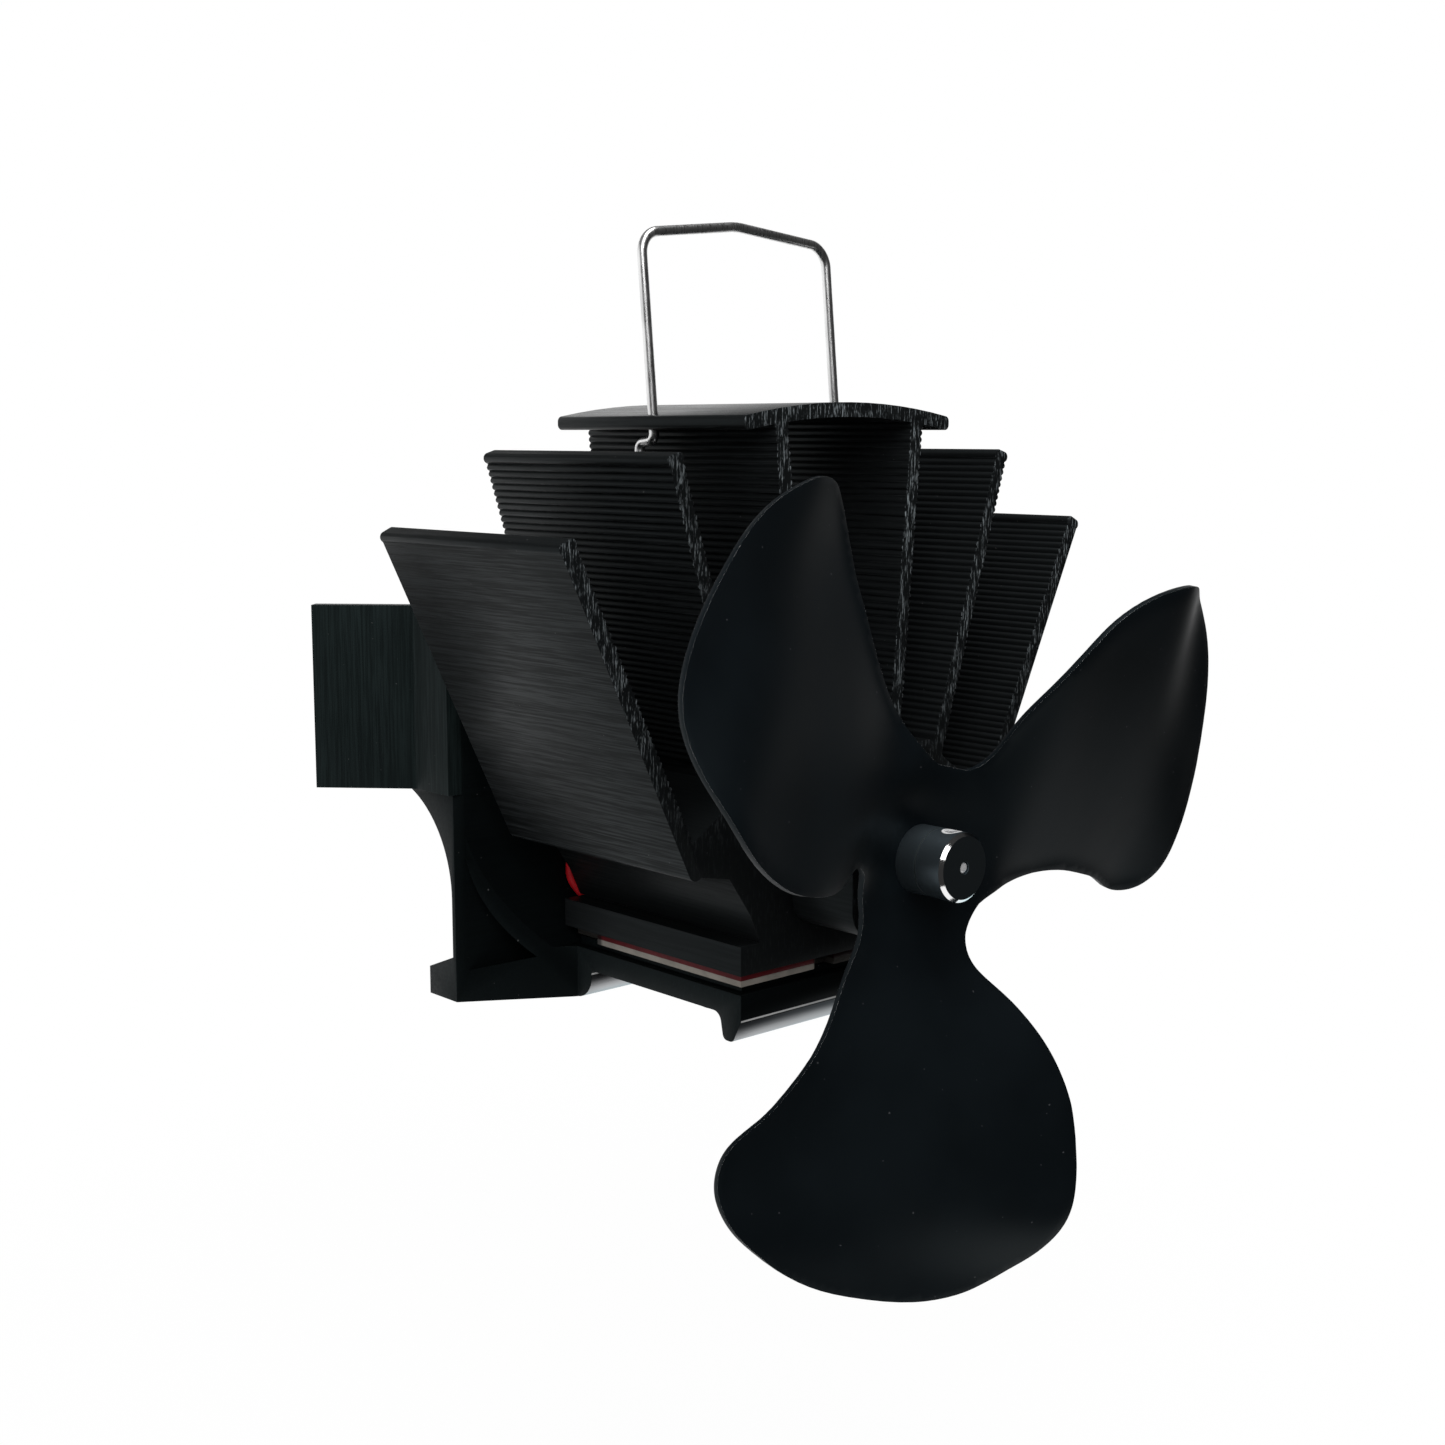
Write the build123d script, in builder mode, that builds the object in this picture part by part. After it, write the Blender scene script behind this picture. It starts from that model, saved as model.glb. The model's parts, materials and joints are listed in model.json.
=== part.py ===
from build123d import *
import os
from math import atan2, cos, degrees, hypot, radians, sin, tan

# A heat-powered fan for a round stove flue, in millimetres.
# The origin is the middle of the saddle's back face, +Y points to the flue and +Z up.
# Heights and depths below are measured from the seat: the underside of the heat sink's
# flange (height 0) and the front face of its fins (depth 0, positive to the back).

# Heat sink, a black extrusion with six fins and a cap
sink_depth = 47.8
flange_width = 49.2
flange_thick = 4.9
flange_relief = 1.3
neck_width = 45.0
neck_foot_width = 40.4
neck_height = 9.9
shoulder_width = 54.2
shoulder_height = 16.6
wing_width = 71.2
wing_height = 18.2
body_height = 34.4
body_top_width = 41.0
body_hip_width = 49.0
body_hip_height = 30.6
body_side_width = 74.4
body_side_height = 22.0
fin_thick = 3.0
fin_tip_width = 3.4
fin_tip_height = 1.8
rib_pitch = 1.15
rib_height = 0.35
rib_flat = 0.35
rib_root_clear = 2.6
rib_tip_clear = 1.0
outer_fin_span = 120.8
outer_fin_height = 70.4
middle_fin_span = 76.4
middle_fin_height = 83.5
middle_fin_root_width = 44.0
middle_fin_root_height = 31.0
inner_fin_span = 32.0
inner_fin_root_width = 22.0
inner_fin_root_height = 33.0
cap_width = 48.0
cap_crown_height = 92.5
cap_drop = 2.3
cap_thick = 2.4
cap_end_round = 0.9

# Carry handle, a bent steel wire that slides in two holes of the cap
wire_diameter = 1.7
wire_gap = 0.1
handle_width = 43.0
handle_depth = 25.0
handle_height = 31.0
handle_peak = 33.3
handle_lean = 5.5
handle_corner = 4.0
handle_peak_radius = 14.0
hook_drop = 3.2
hook_jog = 4.0
hook_length = 6.4
hook_radius = 1.3

# Motor housing and motor
shaft_height = 18.7
housing_width = 26.0
housing_height = 24.6
housing_round = 5.0
housing_front = 13.8
housing_length = 28.0
housing_wall = 1.5
fit_gap = 0.05
motor_radius = 10.2
motor_length = 25.0
can_wall = 0.8
boss_radius = 3.1
boss_length = 1.4
end_cap_thick = 2.4
magnet_inner = 7.7
magnet_outer = 9.3
magnet_length = 14.0
magnet_arc = 130.0
bush_radius = 2.4
bush_length = 2.6
shaft_radius = 1.0
shaft_gap = 0.04
rear_bore_radius = 9.0
core_radius = 7.2
core_length = 9.0
core_neck = 2.4
pole_width = 2.6
pole_shoe = 1.3
pole_gap = 2.0
poles = 3
coil_width = 3.4
coil_overhang = 1.2
core_place = 4.0
commutator_place = -5.8
commutator_radius = 2.3
commutator_length = 3.6
brush_thick = 0.5
brush_width = 1.6
brush_gap = 0.1
terminal_width = 2.2
terminal_thick = 0.4
terminal_length = 3.4
terminal_spacing = 12.0
shaft_end_play = 0.4
shaft_tip_recess = 0.15
motor_screw_radius = 0.9
motor_screw_head = 1.7
motor_screw_bite = 0.7
motor_screw_spacing = 13.0

# Hub and blades
ring_gap = 0.5
ring_length = 0.5
hub_radius = 5.7
hub_spigot_radius = 3.4
barrel_length = 4.6
nose_length = 5.6
nose_chamfer = 0.55
hub_edge_break = 0.12
set_screw_radius = 1.2
set_screw_sink = 0.3
blade_radius = 70.0
blade_thick = 1.0
blade_count = 3
blade_turn = 10.5
blade_rake = 11.9
blade_cup_share = 0.148
notch_radius = 15.9
notch_turn = -2.5
dish_depth = 2.0
dish_floor_radius = 6.6
dish_rise_radius = 12.0
dish_rim_inset = 0.2
# How far out each section of the blade lies, as a share of its radius, and its pitch in degrees
blade_station_shares = [0.095, 0.17, 0.26, 0.40, 0.55, 0.70, 0.85, 1.00, 1.15]
blade_pitches = [0.0, 5.3, 14.0, 21.5, 20.8, 22.0, 16.4, 14.2, 12.0]
# The blade's edge from its front notch round the tip to its back notch,
# along the blade and across it, as shares of the blade's radius
blade_edge_shares = [
    (0.165, 0.176),
    (0.205, 0.193),
    (0.238, 0.237),
    (0.271, 0.288),
    (0.314, 0.335),
    (0.361, 0.378),
    (0.412, 0.417),
    (0.467, 0.452),
    (0.530, 0.477),
    (0.600, 0.493),
    (0.680, 0.498),
    (0.760, 0.487),
    (0.835, 0.459),
    (0.893, 0.415),
    (0.938, 0.360),
    (0.975, 0.275),
    (0.997, 0.165),
    (1.003, 0.050),
    (0.998, -0.065),
    (0.976, -0.165),
    (0.935, -0.262),
    (0.886, -0.333),
    (0.832, -0.362),
    (0.775, -0.359),
    (0.722, -0.335),
    (0.655, -0.282),
    (0.580, -0.239),
    (0.490, -0.196),
    (0.390, -0.168),
    (0.300, -0.158),
    (0.220, -0.157),
    (0.160, -0.168),
]

# Thermoelectric module between the heat sink and the base
module_size = 30.0
ceramic_thick = 0.7
pellet_size = 1.7
pellet_count = 8
pocket_gap = 0.3
seal_thick = 0.9
sheet_thick = 1.0
land_height = 1.3
land_margin = 2.0
sheet_inset = 0.3
seal_inset = 0.3
seal_corner_width = 2.6
seal_corner_depth = 8.8
front_gap_width = 4.6
front_gap_place = 5.2
front_gap_depth = 2.5
gate_width = 6.4
gate_place = 12.8
notch_width = 9.0
notch_place = 14.6
notch_depth = 6.6
notch_height = 9.0
clamp_radius = 1.5
clamp_head_radius = 2.7
clamp_head_thick = 2.0
clamp_washer_radius = 3.1
clamp_washer_thick = 0.5
clamp_depth = 3.6
clamp_side = 5.0
clamp_margin = 11.4

# Hot base, a black extrusion along X with mitred rear corners
plate_thick = 3.8
base_mitre_inset = 3.5
base_mitre_angle = 32.0
base_rear_inset = 1.6
leg_gap = 5.6
leg_thick = 2.0
front_crease = 4.4
front_rib_drop = 8.3
front_rib_tip = 2.0
front_rib_flat = 2.3
front_rib_round = 1.1
front_rib_depth = 5.2
front_rib_fillet = 1.8
foot_drop = 9.3
foot_lead = 6.3
foot_round = 4.4
foot_crook = 0.6
toe_length = 7.4
toe_height = 5.0
toe_rise = 3.0
hole_floor_rear = 3.6
hole_floor_front = 1.6
strut_thick = 1.6
strut_top = 17.7
strut_foot_inset = 1.1
strut_bow = 1.2
hole_top_drop = 3.6
hole_front_shift = 1.5
shelf_lip = 0.7
flue_radius = 66.0
leg_sweep = 20.0
shelf_reach = 12.0

# Flue saddle with flared wings
saddle_bottom = 25.0
saddle_height = 32.6
saddle_wall = 2.9
saddle_width = 89.0
saddle_side_depth = 9.9
wing_reach = 12.5
wing_back = 13.1
wing_bend_round = 1.2
flue_magnet_radius = 8.0
flue_magnet_thick = 2.0
flue_magnet_spacing = 36.0
wing_magnet_radius = 5.0
wing_magnet_thick = 1.6
saddle_screw_radius = 2.0
saddle_screw_head = 3.8
saddle_screw_inset = 11.5
saddle_screw_z = 9.0
screw_head_angle = 90.0
socket_share = 0.45
socket_depth = 1.0

# Leads of the module
lead_diameter = 1.6
lead_run_share = 0.45

# One overrun serves every cut
overrun = 1.0

# Places worked out from the sizes above
flange_depth = sink_depth - flange_relief
module_center = (0, flange_depth / 2)
module_back = (flange_depth + module_size) / 2
module_gap = seal_thick + sheet_thick + land_height
base_top = -module_gap
land_top = -(seal_thick + sheet_thick)
base_mitre_start = flange_depth - base_mitre_inset
base_rear_width = saddle_width - 2 * base_rear_inset
strut_foot = flange_depth - strut_foot_inset
foot_front = strut_foot - foot_lead
saddle_screw_x = saddle_width / 2 - saddle_screw_inset
leg_front = sink_depth + leg_gap
leg_back = leg_front + leg_thick
saddle_back = leg_back + saddle_wall
sink_front = -saddle_back
seat_z = -(saddle_bottom + saddle_height / 2)
shaft_z = seat_z + shaft_height
fin_plane = Plane(origin=(0, sink_front, seat_z), x_dir=(1, 0, 0), z_dir=(0, -1, 0))
side_plane = Plane(origin=(0, sink_front, seat_z), x_dir=(0, 1, 0), z_dir=(1, 0, 0))
plan_plane = Plane(origin=(0, sink_front, seat_z), x_dir=(1, 0, 0), z_dir=(0, 0, 1))
shaft_plane = Plane(origin=(0, sink_front, shaft_z), x_dir=(1, 0, 0), z_dir=(0, -1, 0))
saddle_plane = Plane(origin=(0, 0, 0), x_dir=(-1, 0, 0), z_dir=(0, 1, 0))

clamp_x = flange_width / 2 - clamp_side
clamp_spots = [
    (clamp_x, clamp_margin),
    (-clamp_x, clamp_margin),
    (clamp_x, flange_depth - clamp_margin),
    (-clamp_x, flange_depth - clamp_margin),
]
saddle_screw_spots = [
    (saddle_screw_x, saddle_screw_z),
    (-saddle_screw_x, saddle_screw_z),
    (saddle_screw_x, -saddle_screw_z),
    (-saddle_screw_x, -saddle_screw_z),
]

os.makedirs("parts", exist_ok=True)


# One face of a fin from its root to its tip, side 1 to the right of its middle line and -1 to the
# left. A ribbed face has flat-topped ribs whose tops lie on the plain face.
def fin_face(root, tip, side, ribbed):
    length = hypot(tip[0] - root[0], tip[1] - root[1])
    along = ((tip[0] - root[0]) / length, (tip[1] - root[1]) / length)
    places = [(0, 0), (length, 0)]
    if ribbed:
        ribs = int((length - rib_root_clear - rib_tip_clear) / rib_pitch)
        first = length - rib_tip_clear - ribs * rib_pitch
        places = [(0, 0)]
        for rib in range(ribs):
            start = first + rib * rib_pitch
            middle = start + rib_pitch / 2
            places += [
                (start, rib_height),
                (middle - rib_flat / 2, 0),
                (middle + rib_flat / 2, 0),
            ]
        places += [(first + ribs * rib_pitch, rib_height), (length, 0)]
    return [
        (
            root[0] + along[0] * reach + side * along[1] * (fin_thick / 2 - sink),
            root[1] + along[1] * reach - side * along[0] * (fin_thick / 2 - sink),
        )
        for reach, sink in places
    ]


# Middle lines of the right-hand fins, root first
outer_lean = atan2(outer_fin_span / 2 - wing_width / 2, outer_fin_height - wing_height)
outer_shift_x = cos(outer_lean) * fin_thick / 2
outer_shift_z = sin(outer_lean) * fin_thick / 2
outer_root = (wing_width / 2 - outer_shift_x, wing_height + outer_shift_z)
outer_tip = (outer_fin_span / 2 - outer_shift_x, outer_fin_height + outer_shift_z)
middle_root = (middle_fin_root_width / 2, middle_fin_root_height)
middle_tip = (middle_fin_span / 2, middle_fin_height)
middle_lean = atan2(middle_tip[0] - middle_root[0], middle_tip[1] - middle_root[1])
inner_root = (inner_fin_root_width / 2, inner_fin_root_height)
cap_radius = (cap_width ** 2 / 4 + cap_drop ** 2) / (2 * cap_drop)
inner_dip = cap_radius - (cap_radius ** 2 - inner_fin_span ** 2 / 4) ** 0.5
inner_tip = (inner_fin_span / 2, cap_crown_height - inner_dip - cap_thick / 2)
handle_x = handle_width / 2
cap_dip = cap_radius - (cap_radius ** 2 - handle_x ** 2) ** 0.5
hole_height = cap_crown_height - cap_dip - cap_thick / 2
handle_plane = Plane(
    origin=(0, sink_front + handle_depth, seat_z + hole_height),
    x_dir=(1, 0, 0),
    z_dir=(0, -cos(radians(handle_lean)), sin(radians(handle_lean))),
)
hole_plane = Plane(
    origin=handle_plane.origin,
    x_dir=(1, 0, 0),
    z_dir=(0, sin(radians(handle_lean)), cos(radians(handle_lean))),
)
pocket_depth = housing_length - housing_front

# Heat sink
with BuildPart() as heat_sink:
    with BuildSketch(fin_plane):
        with BuildLine():
            Polyline(
                (0, 0),
                (flange_width / 2, 0),
                (flange_width / 2, flange_thick),
                (neck_foot_width / 2, flange_thick),
                (neck_width / 2, neck_height),
                (shoulder_width / 2, shoulder_height),
                (wing_width / 2, wing_height),
                (body_side_width / 2, body_side_height),
                (body_hip_width / 2, body_hip_height),
                (body_top_width / 2, body_height),
                (0, body_height),
                close=True,
            )
        make_face()
        for root, tip, outside_ribbed in (
            (outer_root, outer_tip, False),
            (middle_root, middle_tip, True),
            (inner_root, inner_tip, True),
        ):
            outside = fin_face(root, tip, 1, outside_ribbed)
            inside = fin_face(root, tip, -1, True)
            with BuildLine():
                Polyline(*outside, *reversed(inside), close=True)
            make_face()
        for tip, lean in ((outer_tip, outer_lean), (middle_tip, middle_lean)):
            with Locations(tip):
                SlotOverall(fin_tip_width, fin_tip_height, rotation=-degrees(lean))
        with Locations(outer_root):
            Circle(fin_thick / 2)
        mirror(about=Plane.YZ)
    extrude(amount=-sink_depth)
    with BuildSketch(fin_plane):
        with BuildLine():
            cap_top = ThreePointArc(
                (-cap_width / 2, cap_crown_height - cap_drop),
                (0, cap_crown_height),
                (cap_width / 2, cap_crown_height - cap_drop),
            )
            cap_bottom = ThreePointArc(
                (-cap_width / 2, cap_crown_height - cap_drop - cap_thick),
                (0, cap_crown_height - cap_thick),
                (cap_width / 2, cap_crown_height - cap_drop - cap_thick),
            )
            Line(cap_top @ 0, cap_bottom @ 0)
            Line(cap_top @ 1, cap_bottom @ 1)
        cap_face = make_face()
        fillet(cap_face.vertices(), radius=cap_end_round)
    extrude(amount=-sink_depth)
    with BuildSketch(hole_plane):
        with Locations((handle_x, 0), (-handle_x, 0)):
            Circle(wire_diameter / 2 + wire_gap)
    extrude(amount=cap_thick, both=True, mode=Mode.SUBTRACT)
    with BuildSketch(shaft_plane):
        RectangleRounded(housing_width + 2 * fit_gap, housing_height + 2 * fit_gap, housing_round)
    extrude(amount=-pocket_depth, mode=Mode.SUBTRACT)
    with BuildSketch(shaft_plane):
        Circle(rear_bore_radius)
    extrude(amount=-(sink_depth + overrun), mode=Mode.SUBTRACT)
    with BuildSketch(plan_plane):
        with Locations(*clamp_spots):
            Circle(clamp_radius + fit_gap)
    extrude(amount=clamp_depth + fit_gap, mode=Mode.SUBTRACT)
    with BuildSketch(plan_plane.offset(-overrun)):
        with Locations((notch_place, sink_depth), (-notch_place, sink_depth)):
            Rectangle(notch_width, 2 * notch_depth)
    extrude(amount=notch_height + overrun, mode=Mode.SUBTRACT)
    with BuildSketch(plan_plane.offset(-overrun)):
        with Locations((0, sink_depth)):
            Rectangle(flange_width + 2 * overrun, 2 * flange_relief)
    extrude(amount=flange_thick + overrun, mode=Mode.SUBTRACT)
heat_sink.part.label = "heat_sink"
export_step(heat_sink.part, "parts/heat_sink.step")

# Carry handle
with BuildPart() as carry_handle:
    with BuildLine(handle_plane) as handle_path:
        FilletPolyline(
            (-handle_x, -(hook_drop + hook_length), -hook_jog),
            (-handle_x, -hook_drop, -hook_jog),
            (-handle_x, -hook_drop, 0),
            (-handle_x, handle_height, 0),
            (0, handle_peak, 0),
            (handle_x, handle_height, 0),
            (handle_x, -hook_drop, 0),
            (handle_x, -hook_drop, -hook_jog),
            (handle_x, -(hook_drop + hook_length), -hook_jog),
            radius=[
                hook_radius,
                hook_radius,
                handle_corner,
                handle_peak_radius,
                handle_corner,
                hook_radius,
                hook_radius,
            ],
        )
    wire = handle_path.line
    with BuildSketch(Plane(origin=wire @ 0, z_dir=wire % 0)):
        Circle(wire_diameter / 2)
    sweep(path=wire)
carry_handle.part.label = "carry_handle"
export_step(carry_handle.part, "parts/carry_handle.step")

# Hot base
base_floor = base_top - plate_thick
foot_floor = base_floor - foot_drop + plate_thick
toe_back = leg_back + toe_length
leg_sweep_drop = (leg_sweep ** 2 - (leg_sweep - shelf_reach) ** 2) ** 0.5
strut_chord = hypot(leg_front - strut_foot, strut_top - base_top)
strut_middle = (
    (leg_front + strut_foot) / 2 + strut_bow * (strut_top - base_top) / strut_chord,
    (strut_top + base_top) / 2 - strut_bow * (leg_front - strut_foot) / strut_chord,
)
strut_under = (
    strut_middle[0] + strut_thick * (strut_top - base_top) / strut_chord,
    strut_middle[1] - strut_thick * (leg_front - strut_foot) / strut_chord,
)
hole_top = strut_top - hole_top_drop
hole_rear = base_top - hole_floor_rear
hole_front = base_top - hole_floor_front
hole_front_y = strut_foot + hole_front_shift
with BuildPart() as hot_base:
    with BuildSketch(side_plane):
        with BuildLine():
            Line((0, base_top), (0, base_top - front_crease))
            FilletPolyline(
                (0, base_top - front_crease),
                (front_rib_tip, base_top - front_rib_drop),
                (front_rib_tip + front_rib_flat, base_top - front_rib_drop),
                (front_rib_depth, base_floor),
                (foot_front, base_floor),
                (foot_front, foot_floor),
                (toe_back, foot_floor),
                radius=[front_rib_round, front_rib_round, front_rib_fillet, foot_crook, foot_round],
            )
            Polyline(
                (toe_back, foot_floor),
                (toe_back, foot_floor + toe_height),
                (leg_back, foot_floor + toe_height + toe_rise),
                (leg_back, saddle_bottom - shelf_lip - leg_sweep_drop),
            )
            RadiusArc(
                (leg_back, saddle_bottom - shelf_lip - leg_sweep_drop),
                (leg_back + shelf_reach, saddle_bottom - shelf_lip),
                leg_sweep,
            )
            Polyline(
                (leg_back + shelf_reach, saddle_bottom - shelf_lip),
                (leg_back + shelf_reach, saddle_bottom),
                (leg_back, saddle_bottom),
                (leg_back, saddle_bottom + saddle_height),
                (leg_front, saddle_bottom + saddle_height),
                (leg_front, strut_top),
            )
            ThreePointArc((leg_front, strut_top), strut_middle, (strut_foot, base_top))
            Line((strut_foot, base_top), (0, base_top))
        make_face()
        with BuildLine():
            Polyline(
                (leg_front, hole_top),
                (leg_front, hole_rear),
                (hole_front_y, hole_front),
            )
            ThreePointArc((hole_front_y, hole_front), strut_under, (leg_front, hole_top))
        make_face(mode=Mode.SUBTRACT)
    extrude(amount=base_rear_width / 2, both=True)
    with BuildSketch(plan_plane):
        mitre_width = (base_rear_width - flange_width) / 2
        mitre_back = base_mitre_start + mitre_width * tan(radians(base_mitre_angle))
        with BuildLine():
            Polyline(
                (0, -overrun),
                (flange_width / 2, -overrun),
                (flange_width / 2, base_mitre_start),
                (base_rear_width / 2, mitre_back),
                (base_rear_width / 2, toe_back + shelf_reach),
                (0, toe_back + shelf_reach),
                close=True,
            )
        make_face()
        mirror(about=Plane.YZ)
    extrude(amount=saddle_bottom + saddle_height + overrun, both=True, mode=Mode.INTERSECT)
    with BuildSketch(plan_plane.offset(saddle_bottom)):
        Rectangle(saddle_width, 2 * saddle_back)
        Rectangle(saddle_width - 2 * saddle_wall, 2 * saddle_back, mode=Mode.SUBTRACT)
    extrude(amount=saddle_height + overrun, mode=Mode.SUBTRACT)
    with BuildSketch(plan_plane.offset(base_top)):
        with Locations((0, flange_depth / 2)):
            Rectangle(flange_width - 2 * land_margin, flange_depth - 2 * land_margin)
            Rectangle(module_size + 2 * pocket_gap, module_size + 2 * pocket_gap, mode=Mode.SUBTRACT)
        with Locations((gate_place, sink_depth), (-gate_place, sink_depth)):
            Rectangle(gate_width, 2 * (sink_depth - module_back), mode=Mode.SUBTRACT)
    extrude(amount=land_height)
    with BuildSketch(plan_plane.offset(foot_floor - overrun)):
        with Locations((0, saddle_back + flue_radius)):
            Circle(flue_radius)
    extrude(amount=saddle_bottom - foot_floor + 2 * overrun, mode=Mode.SUBTRACT)
    with BuildSketch(plan_plane.offset(base_floor - overrun)):
        with Locations(*clamp_spots):
            Circle(clamp_radius + fit_gap)
    extrude(amount=plate_thick + land_height + 2 * overrun, mode=Mode.SUBTRACT)
    with BuildSketch(saddle_plane.offset(-(saddle_wall + leg_thick + overrun))):
        with Locations(*saddle_screw_spots):
            Circle(saddle_screw_radius + fit_gap)
    extrude(amount=leg_thick + overrun, mode=Mode.SUBTRACT)
hot_base.part.label = "hot_base"
export_step(hot_base.part, "parts/hot_base.step")

# Flue saddle
side_x = saddle_width / 2
wing_start = leg_front + saddle_side_depth
wing_length = hypot(wing_reach, wing_back)
wing_in_x = -wing_back / wing_length * saddle_wall
wing_in_y = wing_reach / wing_length * saddle_wall
bend_lift = saddle_wall * tan(atan2(wing_reach, wing_back) / 2)
wing_mid = (side_x + wing_reach / 2, wing_start + wing_back / 2)
wing_planes = [
    Plane(
        origin=(side * (wing_mid[0] + wing_in_x), sink_front + wing_mid[1] + wing_in_y, 0),
        x_dir=(0, 0, 1),
        z_dir=(side * wing_in_x, wing_in_y, 0),
    )
    for side in (1, -1)
]
with BuildPart() as flue_saddle:
    with BuildSketch(plan_plane.offset(saddle_bottom)) as saddle_plan:
        with BuildLine():
            Polyline(
                (0, leg_back),
                (side_x - saddle_wall, leg_back),
                (side_x - saddle_wall, leg_front),
                (side_x, leg_front),
                (side_x, wing_start),
                (side_x + wing_reach, wing_start + wing_back),
                (side_x + wing_reach + wing_in_x, wing_start + wing_back + wing_in_y),
                (side_x - saddle_wall, wing_start + bend_lift),
                (side_x - saddle_wall, saddle_back),
                (0, saddle_back),
                close=True,
            )
        make_face()
        mirror(about=Plane.YZ)
    extrude(amount=saddle_height)
    bend_edges = flue_saddle.edges().filter_by(Axis.Z).filter_by_position(
        Axis.Y, sink_front + wing_start - fit_gap, sink_front + wing_start + bend_lift + fit_gap
    )
    fillet(bend_edges, radius=wing_bend_round)
    with BuildSketch(saddle_plane):
        with Locations((flue_magnet_spacing / 2, 0), (-flue_magnet_spacing / 2, 0)):
            Circle(flue_magnet_radius + fit_gap)
    extrude(amount=-flue_magnet_thick, mode=Mode.SUBTRACT)
    for wing_plane in wing_planes:
        with BuildSketch(wing_plane):
            Circle(wing_magnet_radius + fit_gap)
        extrude(amount=-wing_magnet_thick, mode=Mode.SUBTRACT)
    with Locations(saddle_plane):
        with Locations(*saddle_screw_spots):
            CounterSinkHole(
                radius=saddle_screw_radius + fit_gap,
                counter_sink_radius=saddle_screw_head + fit_gap,
                depth=saddle_wall + overrun,
                counter_sink_angle=screw_head_angle,
            )
flue_saddle.part.label = "flue_saddle"
export_step(flue_saddle.part, "parts/flue_saddle.step")

# Screws of the saddle, driven from behind into the base's leg
with BuildPart() as saddle_screws:
    with BuildSketch(saddle_plane):
        with Locations(*saddle_screw_spots):
            Circle(saddle_screw_radius)
    extrude(amount=-(saddle_wall + leg_thick))
    for spot in saddle_screw_spots:
        with BuildSketch(saddle_plane):
            with Locations(spot):
                Circle(saddle_screw_head)
        with BuildSketch(saddle_plane.offset(saddle_screw_radius - saddle_screw_head)):
            with Locations(spot):
                Circle(saddle_screw_radius)
        loft(ruled=True)
    with BuildSketch(saddle_plane):
        with Locations(*saddle_screw_spots):
            RegularPolygon(saddle_screw_head * socket_share, 6)
    extrude(amount=-socket_depth, mode=Mode.SUBTRACT)
saddle_screws.part.label = "saddle_screws"
export_step(saddle_screws.part, "parts/saddle_screws.step")

# Magnets that hold the saddle on a steel flue, sunk flush in its web and its wings
with BuildPart() as saddle_magnets:
    with BuildSketch(saddle_plane):
        with Locations((flue_magnet_spacing / 2, 0), (-flue_magnet_spacing / 2, 0)):
            Circle(flue_magnet_radius)
    extrude(amount=-flue_magnet_thick)
    for wing_plane in wing_planes:
        with BuildSketch(wing_plane):
            Circle(wing_magnet_radius)
        extrude(amount=-wing_magnet_thick)
saddle_magnets.part.label = "saddle_magnets"
export_step(saddle_magnets.part, "parts/saddle_magnets.step")

# Thermoelectric module: two ceramic plates and the pellets between them
with BuildPart() as module_cold_plate:
    with BuildSketch(plan_plane.offset(-ceramic_thick)):
        with Locations(module_center):
            Rectangle(module_size, module_size)
    extrude(amount=ceramic_thick)
module_cold_plate.part.label = "module_cold_plate"
export_step(module_cold_plate.part, "parts/module_cold_plate.step")

with BuildPart() as module_hot_plate:
    with BuildSketch(plan_plane.offset(base_top)):
        with Locations(module_center):
            Rectangle(module_size, module_size)
    extrude(amount=ceramic_thick)
module_hot_plate.part.label = "module_hot_plate"
export_step(module_hot_plate.part, "parts/module_hot_plate.step")

pellet_pitch = (module_size - pellet_size) / pellet_count
with BuildPart() as module_pellets:
    with BuildSketch(plan_plane.offset(base_top + ceramic_thick)):
        with Locations(module_center):
            with GridLocations(pellet_pitch, pellet_pitch, pellet_count, pellet_count):
                Rectangle(pellet_size, pellet_size)
    extrude(amount=module_gap - 2 * ceramic_thick)
module_pellets.part.label = "module_pellets"
export_step(module_pellets.part, "parts/module_pellets.step")


# Outline that the seal and the sheet share: a frame round the module, open for the leads,
# short of the flange's rear corners and nicked at its front
seal_corners = [(side * flange_width / 2, flange_depth) for side in (1, -1)]


def module_frame(inset):
    with Locations(module_center):
        Rectangle(flange_width - 2 * inset, flange_depth - 2 * inset)
        Rectangle(module_size + 2 * pocket_gap, module_size + 2 * pocket_gap, mode=Mode.SUBTRACT)
    with Locations((gate_place, sink_depth), (-gate_place, sink_depth)):
        Rectangle(gate_width, 2 * (sink_depth - module_back), mode=Mode.SUBTRACT)
    with Locations(*seal_corners):
        Rectangle(2 * seal_corner_width, 2 * seal_corner_depth, mode=Mode.SUBTRACT)
    with Locations((front_gap_place, 0), (-front_gap_place, 0)):
        Rectangle(front_gap_width, 2 * front_gap_depth, mode=Mode.SUBTRACT)
    with Locations(*clamp_spots):
        Circle(clamp_radius + fit_gap, mode=Mode.SUBTRACT)


with BuildPart() as module_seal:
    with BuildSketch(plan_plane.offset(-seal_thick)):
        module_frame(seal_inset)
    extrude(amount=seal_thick)
module_seal.part.label = "module_seal"
export_step(module_seal.part, "parts/module_seal.step")

with BuildPart() as insulation_sheet:
    with BuildSketch(plan_plane.offset(land_top)):
        module_frame(sheet_inset)
    extrude(amount=sheet_thick)
insulation_sheet.part.label = "insulation_sheet"
export_step(insulation_sheet.part, "parts/insulation_sheet.step")

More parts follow.
